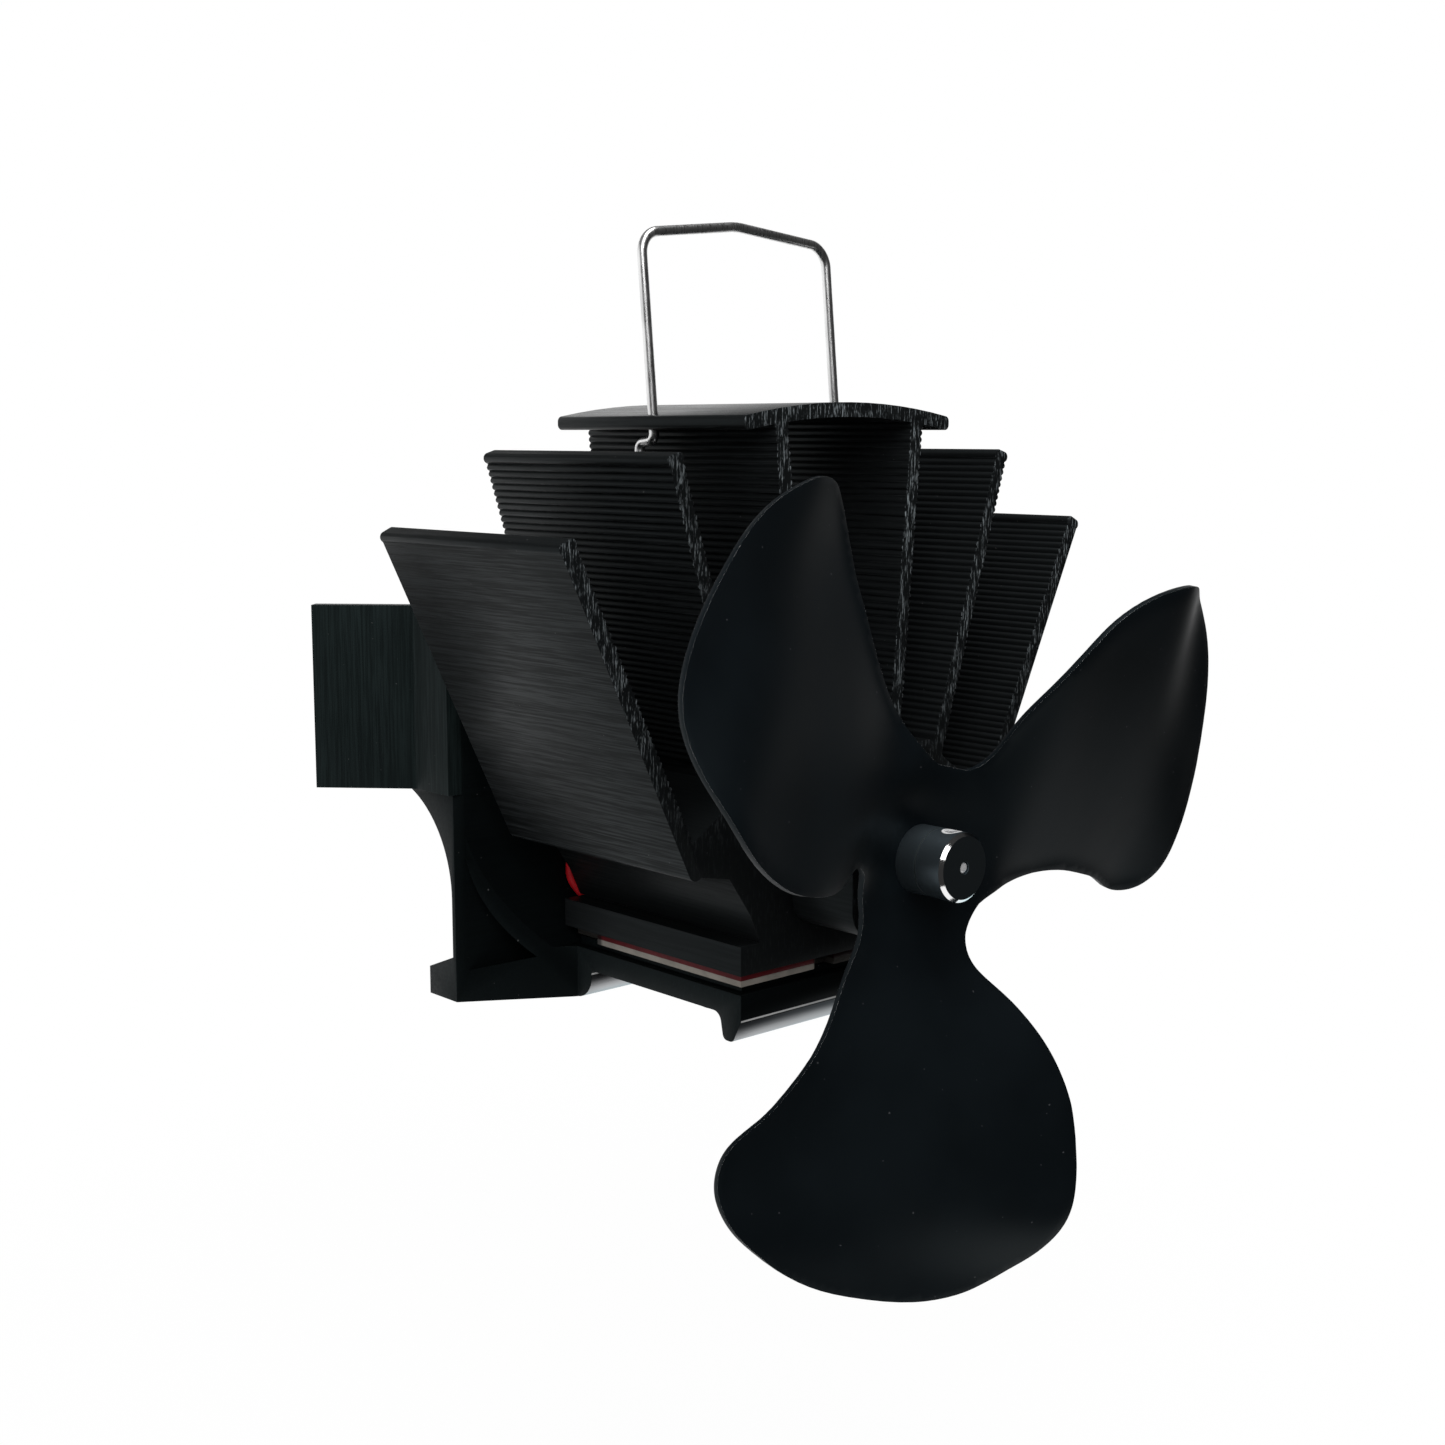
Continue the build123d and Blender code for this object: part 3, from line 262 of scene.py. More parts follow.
def extrusion_finish(name, base, along, brushed=1.0, sawn=1.0, ends_share=0.8, finned=False, worn_highlit_toe=False):
    """Black anodised extrusion: die lines along its length and saw marks on its cut ends.
    The ends are ends_share of the base colour between the marks. A finned one is brushed on its fins' outer
    faces alone and sawn rougher towards their tips, and its outward flanks that face up below the cap are
    painted darker as painted shade. The base's feet get an uncoated, rubbed metal band below the fold, made
    lighter towards its bottom as a painted highlight, with a painted highlight line along the fold."""
    made = Finish(name)
    up = made.axis(made.facing, "Z")
    height = made.axis(made.place, "Z")
    cut = made.step(abs(made.axis(made.facing, "XYZ"[along])), 0.55, 0.8)
    die_scale = [2300.0, 2300.0, 2300.0]
    die_scale[along] = 40.0
    fine_scale = [5600.0, 5600.0, 5600.0]
    fine_scale[along] = 150.0
    lines = made.grain(die_scale, 3.0, 0.6) * 0.6 + made.grain(fine_scale, 2.0) * 0.4
    patches = made.grain((60.0, 60.0, 60.0), 3.0)
    specks = made.step(made.grain((1300.0, 1300.0, 1300.0), 1.0), 0.79, 0.82)
    saw_marks = made.step(made.grain((5000.0, 5000.0, 560.0), 2.0, 0.7), 0.53, 0.68)
    share = brushed
    ledge_painted_shade = crown = 0.0
    if finned:
        saw_marks = saw_marks * made.step(height, SAWN_FROM, SAWN_FULLY, 0.03, 1.0)
        faintly = 0.15
        share = made.step(up, -0.45, -0.3, brushed - faintly, 0.0)
        share = share * made.step(height, NECK_TOP - 0.002, NECK_TOP + 0.002) + faintly
        above = made.step(height, CAP_LOW - 0.001, CAP_LOW)
        outward = made.axis(made.facing, "X") * made.axis(made.place, "X")
        # Painted shade: outward faces that look up, below the cap, are painted darker.
        ledge_painted_shade = made.step(up, 0.1, 0.4) * (1.0 - above) * made.step(outward, 0.0, 0.002)
        crown = made.step(up, 0.7, 0.9) * above
    dull, fresh = shade(base, 0.4), shade(base, 2.6)
    skin = made.mix(made.step(lines, 0.42, 0.6), dull, fresh)
    skin = made.mix(share, colour(base), skin)
    skin = made.mix(ledge_painted_shade * 0.65, skin, shade(base, 0.25))
    ends = made.mix(saw_marks * sawn, shade(base, ends_share), shade(base, 26.0))
    tone = made.mix(cut, skin, ends)
    tone = made.mix(made.step(patches, 0.35, 0.75, 0.0, 0.4), tone, shade(base, 0.6))
    tone = made.mix(specks * 0.25, tone, (0.2, 0.2, 0.2, 1.0))
    rough = made.step(lines, 0.35, 0.65, 0.44, 0.32) + cut * 0.06 + ledge_painted_shade * 0.25 - crown * 0.1
    relief = lines * (1.0 - cut) * share + saw_marks * cut * sawn * 0.6
    metal = 0.0
    # On the feet: an uncoated, rubbed band with a painted highlight and a painted highlight line.
    if worn_highlit_toe:
        tone, metal = worn_toe_and_painted_highlight(made, tone, height)
    return made.surface(
        Base_Color=tone,
        Roughness=rough,
        Metallic=metal,
        Specular_IOR_Level=0.08,
        Specular_Tint=COOL,
        Normal=made.bump(relief, 0.00004, 0.6),
    )


def coated_finish(name, base, rough, grain=900.0):
    """Sprayed or moulded coat with a fine orange peel."""
    made = Finish(name)
    peel = made.grain((grain, grain, grain), 3.0)
    cloud = made.grain((60.0, 60.0, 60.0), 3.0)
    tone = made.mix(made.step(cloud, 0.3, 0.7), shade(base, 0.85), shade(base, 1.15))
    return made.surface(
        Base_Color=tone,
        Roughness=made.step(cloud + peel * 0.3, 0.4, 0.9, rough - 0.05, rough + 0.06),
        Specular_IOR_Level=0.35,
        Normal=made.bump(peel, 0.00003, 0.5),
    )


def blade_finish(name, base):
    """Satin blue-black coat; the rim's broken edge is uncoated where the coat is thin and painted
    near-white as a painted highlight line.
    """
    made = Finish(name)
    peel = made.grain((1500.0, 1500.0, 1500.0), 2.0)
    cloud = made.grain((40.0, 40.0, 40.0), 3.0)
    dust = made.step(made.grain((1500.0, 1500.0, 1500.0), 0.0), 0.86, 0.9)
    forward = abs(made.axis(made.facing, "Y"))
    rim = made.node("ShaderNodeAttribute", {"attribute_name": RIM_HIGHLIGHT_ATTRIBUTE}).outputs["Fac"]
    rub_and_highlight_patches = made.step(made.grain((260.0, 260.0, 260.0), 3.0), 0.35, 0.6, 0.55, 1.0)
    uncoated_rim_highlight = Reading(made, rim) * rub_and_highlight_patches
    side = made.step(forward, 0.2, 0.4, 1.0, 0.0)
    tone = made.mix(made.step(cloud, 0.3, 0.7), shade(base, 0.85), shade(base, 1.2))
    tone = made.mix(side * 0.15, tone, shade(base, 3.0))
    tone = made.mix(dust * 0.15, tone, (0.25, 0.25, 0.27, 1.0))
    # Painted highlight: the rim is near-white and mostly diffuse, so it looks lit from every side; in part
    # it stands for rubbed, uncoated metal.
    tone = made.mix(uncoated_rim_highlight, tone, (0.95, 0.95, 0.95, 1.0))
    return made.surface(
        Base_Color=tone,
        Roughness=made.step(cloud, 0.3, 0.7, 0.44, 0.5) - uncoated_rim_highlight * 0.15,
        Metallic=uncoated_rim_highlight * 0.1,
        Specular_IOR_Level=0.14,
        Specular_Tint=COOL,
        Normal=made.bump(peel, 0.00001, 0.3),
    )


def turned_finish(name, base, bright):
    """Turned satin black hub, bright where its nose is cut after the coat; the set screw's mouth is cut
    after the coat too and painted near-white and mostly diffuse as a painted glint.
    """
    made = Finish(name)
    forward = made.axis(made.facing, "Y")
    out_x = made.axis(made.place, "X")
    out_z = made.axis(made.place, "Z") - SHAFT.z
    depth = made.axis(made.place, "Y")
    radius = made.length(out_x, out_z)
    chamfer = made.step(forward, -0.93, -0.88) * made.step(forward, -0.45, -0.3, 1.0, 0.0)
    rim = chamfer * made.step(depth, NOSE_FRONT + 0.0012, NOSE_FRONT + 0.0014, 1.0, 0.0)
    rim = rim * made.step(radius, 0.004, 0.0042)
    mouth = made.length(out_x, depth - SET_SCREW.y)
    # Painted glint: a near-white band round the set screw's mouth that looks lit from any side.
    mouth_glint = made.step(mouth, 0.0011, 0.0012) * made.step(mouth, 0.0015, 0.0018, 1.0, 0.0)
    mouth_glint = mouth_glint * made.step(out_z, 0.002, 0.003)
    seam = made.step(abs(depth - NOSE_SEAM), 0.00015, 0.00022, 1.0, 0.0)
    rings = made.maths("SINE", radius * 30000.0, 0.0)
    lathe = made.grain((0.0, 9000.0, 0.0), 1.0)
    side = made.step(abs(forward), 0.5, 0.8, 1.0, 0.0)
    height = rings * 0.02 * (1.0 - side) + lathe * side * (1.0 - mouth_glint)
    tone = made.mix(side, colour(base), shade(base, 20.0))
    tone = made.mix(seam, tone, shade(base, 0.1))
    tone = made.mix(rim + mouth_glint, tone, colour(bright))
    return made.surface(
        Base_Color=tone,
        Metallic=made.maths("MAXIMUM", rim + mouth_glint * 0.3, side * (1.0 - mouth_glint) * (1.0 - seam) * 0.9),
        Roughness=0.3 + side * (1.0 - rim) * 0.1 + seam * 0.4 - rim * 0.2,
        Specular_IOR_Level=0.6,
        Specular_Tint=COOL,
        Normal=made.bump(height, 0.00003, 0.8),
    )


def metal_finish(name, base, rough, scale=(2500.0, 2500.0, 2500.0), metallic=1.0):
    """Bare metal with fine drawing or turning lines."""
    made = Finish(name)
    lines = made.grain(scale, 3.0)
    stain = made.grain((120.0, 120.0, 120.0), 3.0)
    tone = made.mix(made.step(stain, 0.35, 0.7), shade(base, 0.86), shade(base, 1.06))
    return made.surface(
        Base_Color=tone,
        Metallic=metallic,
        Roughness=made.step(lines, 0.3, 0.7, rough - 0.06, rough + 0.08),
        Normal=made.bump(lines, 0.00002, 0.5),
    )


def soft_finish(name, base, rough, weave=2200.0, sheen=0.0, depth=0.00008, painted_shade_behind=False):
    """Matt silicone or fibre sheet with small pits and fibres; with the shade option its rear and its right
    are painted nearly black as painted shade.
    """
    made = Finish(name)
    fibres = made.grain((weave, weave, weave * 1.6), 4.0, 0.65)
    blotch = made.grain((260.0, 260.0, 260.0), 3.0)
    tone = made.mix(made.step(blotch, 0.3, 0.7), shade(base, 0.82), shade(base, 1.1))
    tone = made.mix(made.step(fibres, 0.55, 0.8) * 0.3, tone, shade(base, 0.6))
    if painted_shade_behind:
        # Painted shade: nearly black behind SHEET_BACK and right of SHEET_GAP, where shade falls.
        rear = made.step(made.axis(made.place, "Y"), SHEET_BACK - 0.001, SHEET_BACK)
        right = made.step(made.axis(made.place, "X"), SHEET_GAP - 0.001, SHEET_GAP)
        tone = made.mix(made.maths("MAXIMUM", rear, right) * 0.9, tone, shade(base, 0.03))
    return made.surface(
        Base_Color=tone,
        Roughness=made.step(fibres, 0.3, 0.7, rough - 0.06, rough + 0.06),
        Sheen_Weight=sheen,
        Specular_IOR_Level=0.2,
        Normal=made.bump(fibres, depth, 0.6),
    )


# Modelling helpers


def deselect():
    bpy.ops.object.select_all(action="DESELECT")


def give(piece, material):
    piece.data.materials.clear()
    piece.data.materials.append(material)


def dress(node, material):
    """A CAD node keeps its shape and gets a finish."""
    give(frame["nodes"][node], material)


def select_only(piece):
    deselect()
    piece.select_set(True)
    bpy.context.view_layer.objects.active = piece


def apply_modifier(piece, kind, **settings):
    modifier = piece.modifiers.new(kind.title(), kind)
    for name, value in settings.items():
        setattr(modifier, name, value)
    bpy.ops.object.modifier_apply(modifier=modifier.name)


def merged_copy(node, name):
    """A welded copy of a CAD node's mesh with its flat faces whole again."""
    source = frame["nodes"][node]
    piece = bpy.data.objects.new(name, source.data.copy())
    bpy.context.scene.collection.objects.link(piece)
    select_only(piece)
    bpy.ops.object.mode_set(mode="EDIT")
    bpy.ops.mesh.select_all(action="SELECT")
    bpy.ops.mesh.remove_doubles(threshold=WELD)
    if piece.data.has_custom_normals:
        bpy.ops.mesh.customdata_custom_splitnormals_clear()
    bpy.ops.mesh.dissolve_limited(angle_limit=FLAT)
    bpy.ops.object.mode_set(mode="OBJECT")
    return piece


def take_place(piece, node, material):
    """The finished piece stands for the CAD node and moves with its body."""
    give(piece, material)
    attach(piece, frame["nodes"][node]["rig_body"])
    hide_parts(node)


def edge_broken(node, name, width, material, segments=2, ends=None, smooth=SMOOTH_BELOW):
    """Stands for a CAD node, with its sharp edges broken so that they catch the light.
    ends, an axis, breaks only the edges of the two cut ends."""
    piece = merged_copy(node, name)
    settings = {"limit_method": "ANGLE", "angle_limit": math.radians(35.0)}
    if ends is not None:
        low, high = (corner[ends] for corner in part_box(node))
        weights = piece.data.attributes.new("bevel_weight_edge", "FLOAT", "EDGE")
        for edge in piece.data.edges:
            heights = [piece.data.vertices[v].co[ends] for v in edge.vertices]
            level = max(heights) - min(heights) < SAME_PLACE
            if level and min(heights[0] - low, high - heights[0]) < SAME_PLACE:
                weights.data[edge.index].value = 1.0
        settings = {"limit_method": "WEIGHT"}
    apply_modifier(piece, "BEVEL", width=width, segments=segments, use_clamp_overlap=True, **settings)
    bpy.ops.object.shade_smooth_by_angle(angle=smooth)
    take_place(piece, node, material)


# Settings


class StoveFanColours(bpy.types.PropertyGroup):
    """Colours of the fan's finishes"""

    extrusion: FloatVectorProperty(
        name="Extrusion",
        description="Black anodised cooler",
        default=(0.008, 0.009, 0.0095, 1.0), subtype="COLOR", size=4,
    )
    base: FloatVectorProperty(
        name="Base",
        description="Black anodised base",
        default=(0.0022, 0.0032, 0.0034, 1.0), subtype="COLOR", size=4,
    )
    saddle: FloatVectorProperty(
        name="Saddle",
        description="Black saddle",
        default=(0.0078, 0.0115, 0.0115, 1.0), subtype="COLOR", size=4,
    )
    blade: FloatVectorProperty(
        name="Blades",
        description="Blue-black blade coat",
        default=(0.0028, 0.0043, 0.0057, 1.0), subtype="COLOR", size=4,
    )
    hub: FloatVectorProperty(
        name="Hub",
        description="Black turned hub",
        default=(0.006, 0.0075, 0.0085, 1.0), subtype="COLOR", size=4,
    )
    steel: FloatVectorProperty(
        name="Steel",
        description="Bright stainless wire",
        default=(0.85, 0.85, 0.85, 1.0), subtype="COLOR", size=4,
    )
    silicone: FloatVectorProperty(
        name="Silicone",
        description="Red silicone seal",
        default=(0.07, 0.0016, 0.004, 1.0), subtype="COLOR", size=4,
    )
    fibre: FloatVectorProperty(
        name="Fibre",
        description="Pale fibre sheet",
        default=(0.23, 0.21, 0.185, 1.0), subtype="COLOR", size=4,
    )
    red_sleeve: FloatVectorProperty(
        name="Red lead",
        description="Red silicone sleeving",
        default=(0.6, 0.012, 0.02, 1.0), subtype="COLOR", size=4,
    )
    black_sleeve: FloatVectorProperty(
        name="Black lead",
        description="Black silicone sleeving",
        default=(0.015, 0.015, 0.015, 1.0), subtype="COLOR", size=4,
    )


class StoveFanSizes(bpy.types.PropertyGroup):
    """Sizes of the fan's fine detail and of its stage"""

    extrusion_break: FloatProperty(
        name="Extrusion edges",
        description="Break on sawn edges",
        default=0.00012, unit="LENGTH",
    )
    fine_break: FloatProperty(
        name="Fine edges",
        description="Break on small parts",
        default=0.00006, unit="LENGTH",
    )
    head_share: FloatProperty(
        name="Clamp heads",
        description="Height of the clamp screws' heads, as a share",
        default=0.3,
    )
    shaft_round: FloatProperty(
        name="Shaft end",
        description="Rounding of the shaft's end",
        default=0.0005, unit="LENGTH",
    )
    lead_diameter: FloatProperty(
        name="Lead",
        description="Diameter of the module's leads",
        default=0.0016, unit="LENGTH",
    )
    lead_length: FloatProperty(
        name="Lead length",
        description="Length of each lead",
        default=0.072, unit="LENGTH",
    )
    blade_sheet: FloatProperty(
        name="Blade sheet",
        description="Thickness of the blades",
        default=0.001, unit="LENGTH",
    )
    blade_break: FloatProperty(
        name="Blade edges",
        description="Break on the blades' rim",
        default=0.00026, unit="LENGTH",
    )
    blade_bore: FloatProperty(
        name="Blade bore",
        description="Radius of the hole for the hub",
        default=0.003, unit="LENGTH",
    )
    blade_cell: FloatProperty(
        name="Blade cell",
        description="Grid on which heights are read",
        default=0.0006, unit="LENGTH",
    )
    blade_net: FloatProperty(
        name="Blade net",
        description="Size of the blades' small faces",
        default=0.0011, unit="LENGTH",
    )
    blade_rim_step: FloatProperty(
        name="Rim step",
        description="Step round the blades' rim",
        default=0.0006, unit="LENGTH",
    )
    notch_reach: FloatProperty(
        name="Notch",
        description="How far the notches' rounding reaches",
        default=0.0042, unit="LENGTH",
    )
    floor_height: FloatProperty(
        name="Floor",
        description="Height of the floor below the saddle",
        default=-0.2, unit="LENGTH",
    )
    floor_radius: FloatProperty(
        name="Floor radius",
        description="Radius of the floor",
        default=0.36, unit="LENGTH",
    )
    camera_lens: FloatProperty(
        name="Lens",
        description="Focal length in millimetres",
        default=49.25,
    )


def colours():
    return bpy.context.scene.stove_fan_colours


def sizes():
    return bpy.context.scene.stove_fan_sizes


# Pieces


class STOVEFAN_OT_heat_sink(bpy.types.Operator):
    """Ribbed cooler with its fins, cap and flange"""

    bl_idname = "stovefan.heat_sink"
    bl_label = "Heat sink"

    def execute(self, context):
        finish = extrusion_finish("black_anodised_fins", colours().extrusion, 1, finned=True)
        smooth = math.radians(50.0)
        edge_broken("heat_sink", "cooler_fins", sizes().extrusion_break, finish, ends=1, smooth=smooth)
        return {"FINISHED"}


class STOVEFAN_OT_carry_handle(bpy.types.Operator):
    """Bent wire handle"""

    bl_idname = "stovefan.carry_handle"
    bl_label = "Carry handle"

    def execute(self, context):
        finish = metal_finish("drawn_stainless_wire", colours().steel, 0.3, (3000.0, 3000.0, 200.0))
        edge_broken("carry_handle", "wire_handle", sizes().fine_break, finish)
        return {"FINISHED"}


class STOVEFAN_OT_hot_base(bpy.types.Operator):
    """Base with its feet, leg and strut"""

    bl_idname = "stovefan.hot_base"
    bl_label = "Hot base"

    def execute(self, context):
        finish = extrusion_finish(
            "black_anodised_base", colours().base, 0, 0.15, 0.06, ends_share=1.7, worn_highlit_toe=True
        )
        edge_broken("hot_base", "base_extrusion", sizes().extrusion_break, finish)
        return {"FINISHED"}


class STOVEFAN_OT_flue_saddle(bpy.types.Operator):
    """Saddle that holds the flue, with its magnets and screws"""

    bl_idname = "stovefan.flue_saddle"
    bl_label = "Flue saddle"

    def execute(self, context):
        finish = extrusion_finish("black_anodised_saddle", colours().saddle, 2, 0.35, 0.1)
        edge_broken("flue_saddle", "saddle_wings", sizes().extrusion_break, finish)
        dress("saddle_magnets", metal_finish("nickel_magnet", (0.6, 0.59, 0.57), 0.28))
        dress("saddle_screws", metal_finish("black_oxide_screw", (0.09, 0.09, 0.095), 0.35))
        return {"FINISHED"}


class STOVEFAN_OT_module(bpy.types.Operator):
    """Thermoelectric module with its seal and fibre sheet"""

    bl_idname = "stovefan.module"
    bl_label = "Module"

    def execute(self, context):
        # Both carry painted shade behind and to the right.
        silicone = soft_finish("red_silicone", colours().silicone, 0.5, 900.0, painted_shade_behind=True)
        fibre = soft_finish("pale_fibre_sheet", colours().fibre, 0.85, 2600.0, 0.1, 0.00015, painted_shade_behind=True)
        edge_broken("module_seal", "seal_frame", sizes().fine_break, silicone)
        edge_broken("insulation_sheet", "fibre_sheet", sizes().fine_break, fibre)
        ceramic = coated_finish("white_alumina", (0.8, 0.8, 0.78), 0.5, 1400.0)
        dress("module_cold_plate", ceramic)
        dress("module_hot_plate", ceramic)
        dress("module_pellets", metal_finish("telluride_pellet", (0.3, 0.3, 0.33), 0.4))
        return {"FINISHED"}


class STOVEFAN_OT_clamps(bpy.types.Operator):
    """Clamp screws and their washers"""

    bl_idname = "stovefan.clamps"
    bl_label = "Clamp screws"

    def execute(self, context):
        oxide = metal_finish("black_oxide_steel", (0.06, 0.06, 0.065), 0.35)
        washer_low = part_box("clamp_washers")[0].z
        screws = merged_copy("clamp_screws", "low_head_screws")
        for point in screws.data.vertices:
            if point.co.z < washer_low:
                point.co.z = washer_low + (point.co.z - washer_low) * sizes().head_share
        apply_modifier(screws, "BEVEL", width=sizes().fine_break * 2, segments=2, limit_method="ANGLE")
        bpy.ops.object.shade_smooth_by_angle(angle=SMOOTH_BELOW)
        take_place(screws, "clamp_screws", oxide)
        dress("clamp_washers", oxide)
        return {"FINISHED"}


class STOVEFAN_OT_motor(bpy.types.Operator):
    """Motor and its housing"""

    bl_idname = "stovefan.motor"
    bl_label = "Motor"

    def execute(self, context):
        housing = extrusion_finish("black_anodised_housing", colours().extrusion, 1, 0.2, 0.1)
        edge_broken("motor_housing", "housing_sleeve", sizes().extrusion_break, housing)
        dress("motor_can", metal_finish("plated_motor_can", (0.5, 0.5, 0.5), 0.3))
        dress("motor_end_cap", coated_finish("moulded_end_cap", (0.03, 0.03, 0.03), 0.5))
        dress("motor_magnets", coated_finish("ferrite_magnet", (0.06, 0.06, 0.065), 0.6, 2600.0))
        bronze = metal_finish("sintered_bronze", (0.5, 0.33, 0.17), 0.4)
        dress("front_bush", bronze)
        dress("rear_bush", bronze)
        dress("motor_brushes", coated_finish("pressed_carbon", (0.03, 0.03, 0.03), 0.5, 3000.0))
        dress("motor_terminals", metal_finish("tinned_copper", (0.66, 0.5, 0.38), 0.3))
        dress("motor_screws", metal_finish("black_housing_screw", (0.08, 0.08, 0.085), 0.35))
        return {"FINISHED"}


class STOVEFAN_OT_rotor(bpy.types.Operator):
    """Shaft, armature and hub"""

    bl_idname = "stovefan.rotor"
    bl_label = "Rotor"

    def execute(self, context):
        hub = turned_finish("black_turned_hub", colours().hub, (0.9, 0.9, 0.9))
        dress("hub_nose", hub)
        dress("hub_barrel", hub)
        dress("hub_ring", hub)
        shaft = metal_finish("ground_shaft", (0.8, 0.8, 0.81), 0.22, metallic=0.6)
        edge_broken("motor_shaft", "steel_shaft", sizes().shaft_round, shaft, 4)
        dress("hub_set_screw", metal_finish("set_screw_steel", (0.6, 0.6, 0.62), 0.2))
        core = metal_finish("stamped_core", (0.45, 0.45, 0.46), 0.35, (600.0, 6000.0, 600.0))
        dress("armature_core", core)
        winding = metal_finish("enamelled_winding", (0.6, 0.3, 0.15), 0.35, (6000.0, 600.0, 6000.0))
        dress("armature_windings", winding)
        dress("commutator", metal_finish("copper_commutator", (0.75, 0.42, 0.25), 0.25))
        return {"FINISHED"}


def heights_over(tree, low, cells, cell):
    """Heights of a sheet's front over a square grid, with those off the sheet left open."""
    rows = numpy.full((cells, cells), numpy.nan)
    start = low.y - 0.01
    for i in range(cells):
        for j in range(cells):
            hit = tree.ray_cast(Vector((low.x + i * cell, start, low.z + j * cell)), TO_THE_FLUE)
            if hit[0] is not None:
                rows[i, j] = hit[0].y
    return rows


def spread(rows, reach):
    """Soft average over the neighbours, which also fills the open cells beside the sheet."""
    steps = numpy.arange(-3 * reach, 3 * reach + 1)
    weight = numpy.exp(-0.5 * (steps / reach) ** 2)
    known = ~numpy.isnan(rows)
    total = numpy.where(known, rows, 0.0)
    share = known.astype(float)
    for axis in (0, 1):
        total = numpy.apply_along_axis(numpy.convolve, axis, total, weight, "same")
        share = numpy.apply_along_axis(numpy.convolve, axis, share, weight, "same")
    return numpy.where(share > 1e-6, total / numpy.maximum(share, 1e-6), numpy.nan)


def read_heights(rows, low, cell, x, z):
    """Height between the grid's cells."""
    u = (x - low.x) / cell
    v = (z - low.z) / cell
    i = int(min(max(u, 0), rows.shape[0] - 2))
    j = int(min(max(v, 0), rows.shape[1] - 2))
    u -= i
    v -= j
    near = rows[i, j] * (1 - u) + rows[i + 1, j] * u
    far = rows[i, j + 1] * (1 - u) + rows[i + 1, j + 1] * u
    return near * (1 - v) + far * v


def front_outline(source, tree):
    """The outline of a thin sheet as its front shows it: one run of points round the outside."""
    net = bmesh.new()
    net.from_mesh(source.data)
    bmesh.ops.remove_doubles(net, verts=net.verts, dist=WELD)
    bmesh.ops.dissolve_limit(net, angle_limit=FLAT, verts=net.verts, edges=net.edges)
    net.normal_update()
    runs = []
    for edge in net.edges:
        if len(edge.link_faces) != 2:
            continue
        front, wall = sorted(edge.link_faces, key=lambda face: face.normal.y)
        if front.normal.y > -0.5 or abs(wall.normal.y) > 0.2:
            continue
        middle = (edge.verts[0].co + edge.verts[1].co) / 2 + wall.normal * 0.00015
        middle.y = -0.3
        if tree.ray_cast(middle, TO_THE_FLUE)[0] is None:
            runs.append([Vector((v.co.x, v.co.z)) for v in edge.verts])
    net.free()
    outside = [run for run in runs if (run[0] - Vector((SHAFT.x, SHAFT.z))).length > 0.012]
    line = outside.pop()
    while outside:
        gap, index, turned = min(
            ((line[-1] - run[side]).length, k, side) for k, run in enumerate(outside) for side in (0, 1)
        )
        if gap > 0.002:
            break
        run = outside.pop(index)
        line.append(run[1 - turned])
    return line


def even_points(line, spacing):
    """The closed line again, in points a set distance apart."""
    around = line + [line[0]]
    total = sum((b - a).length for a, b in zip(around, around[1:]))
    count = int(total / spacing)
    points = []
    left = 0.0
    for a, b in zip(around, around[1:]):
        length = (b - a).length
        while left < length and len(points) < count:
            points.append(a.lerp(b, left / length))
            left += total / count
        left -= length
    return points


def eased_notches(points, spacing, centre, reach):
    """Rounds the three notches between the blades, which lie nearest to the shaft."""
    eased = list(points)
    count = len(points)
    span = int(reach / spacing)
    radii = [(point - centre).length for point in points]
    for k in range(count):
        nearby = [radii[(k + m) % count] for m in range(-4 * span, 4 * span + 1)]
        if radii[k] > NOTCH_RADIUS or radii[k] > min(nearby):
            continue
        start, corner, end = points[(k - span) % count], points[k], points[(k + span) % count]
        for m in range(-span, span + 1):
            share = (m + span) / (2 * span)
            eased[(k + m) % count] = (
                start * (1 - share) ** 2 + corner * 2 * share * (1 - share) + end * share**2
            )
    return eased


def notch_corners(rim, centre):
    """The rim's points that lie nearest to the shaft between two blades."""
    corners = []
    for k, point in enumerate(rim):
        beside = min((rim[(k + m) % len(rim)] - centre).length for m in (-9, -3, 3, 9))
        if (point - centre).length < min(beside, NOTCH_CORNER_RADIUS):
            corners.append(point)
    return corners


def inner_net(rim, low, high, step):
    """Points of an even triangular net, clear of the rim."""
    near_rim = KDTree(len(rim))
    for k, point in enumerate(rim):
        near_rim.insert((point.x, point.y, 0), k)
    near_rim.balance()
    inner = []
    rows_up = int((high.z - low.z) / (step * NET_ROW)) + 8
    rows_across = int((high.x - low.x) / step) + 8
    for j in range(rows_up):
        for i in range(rows_across):
            x = low.x + (i + 0.5 * (j % 2)) * step
            z = low.z + j * step * NET_ROW
            if near_rim.find((x, z, 0))[2] > RIM_CLEARANCE * step:
                inner.append(Vector((x, z)))
    return inner


def softness(point, notches, centre):
    """How far a point's height is smoothed: fully in the middle and at a notch."""
    near = min((point - notch).length for notch in notches)
    radial = (point - centre).length
    middle = min(1.0, max(0.0, (NOTCH_RADIUS - radial) / MIDDLE_EASE))
    return max(math.exp(-0.5 * (near / NOTCH_SOFTNESS) ** 2), middle)


def mark_highlit_rim(piece):
    """Turns the second material of the broken edges into a value that the finish reads as the rim's painted
    highlight.
    """
    broken = [float(face.material_index) for face in piece.data.polygons]
    piece.data.attributes.new(RIM_HIGHLIGHT_ATTRIBUTE, "FLOAT", "FACE").data.foreach_set("value", broken)
    piece.data.polygons.foreach_set("material_index", [0] * len(broken))


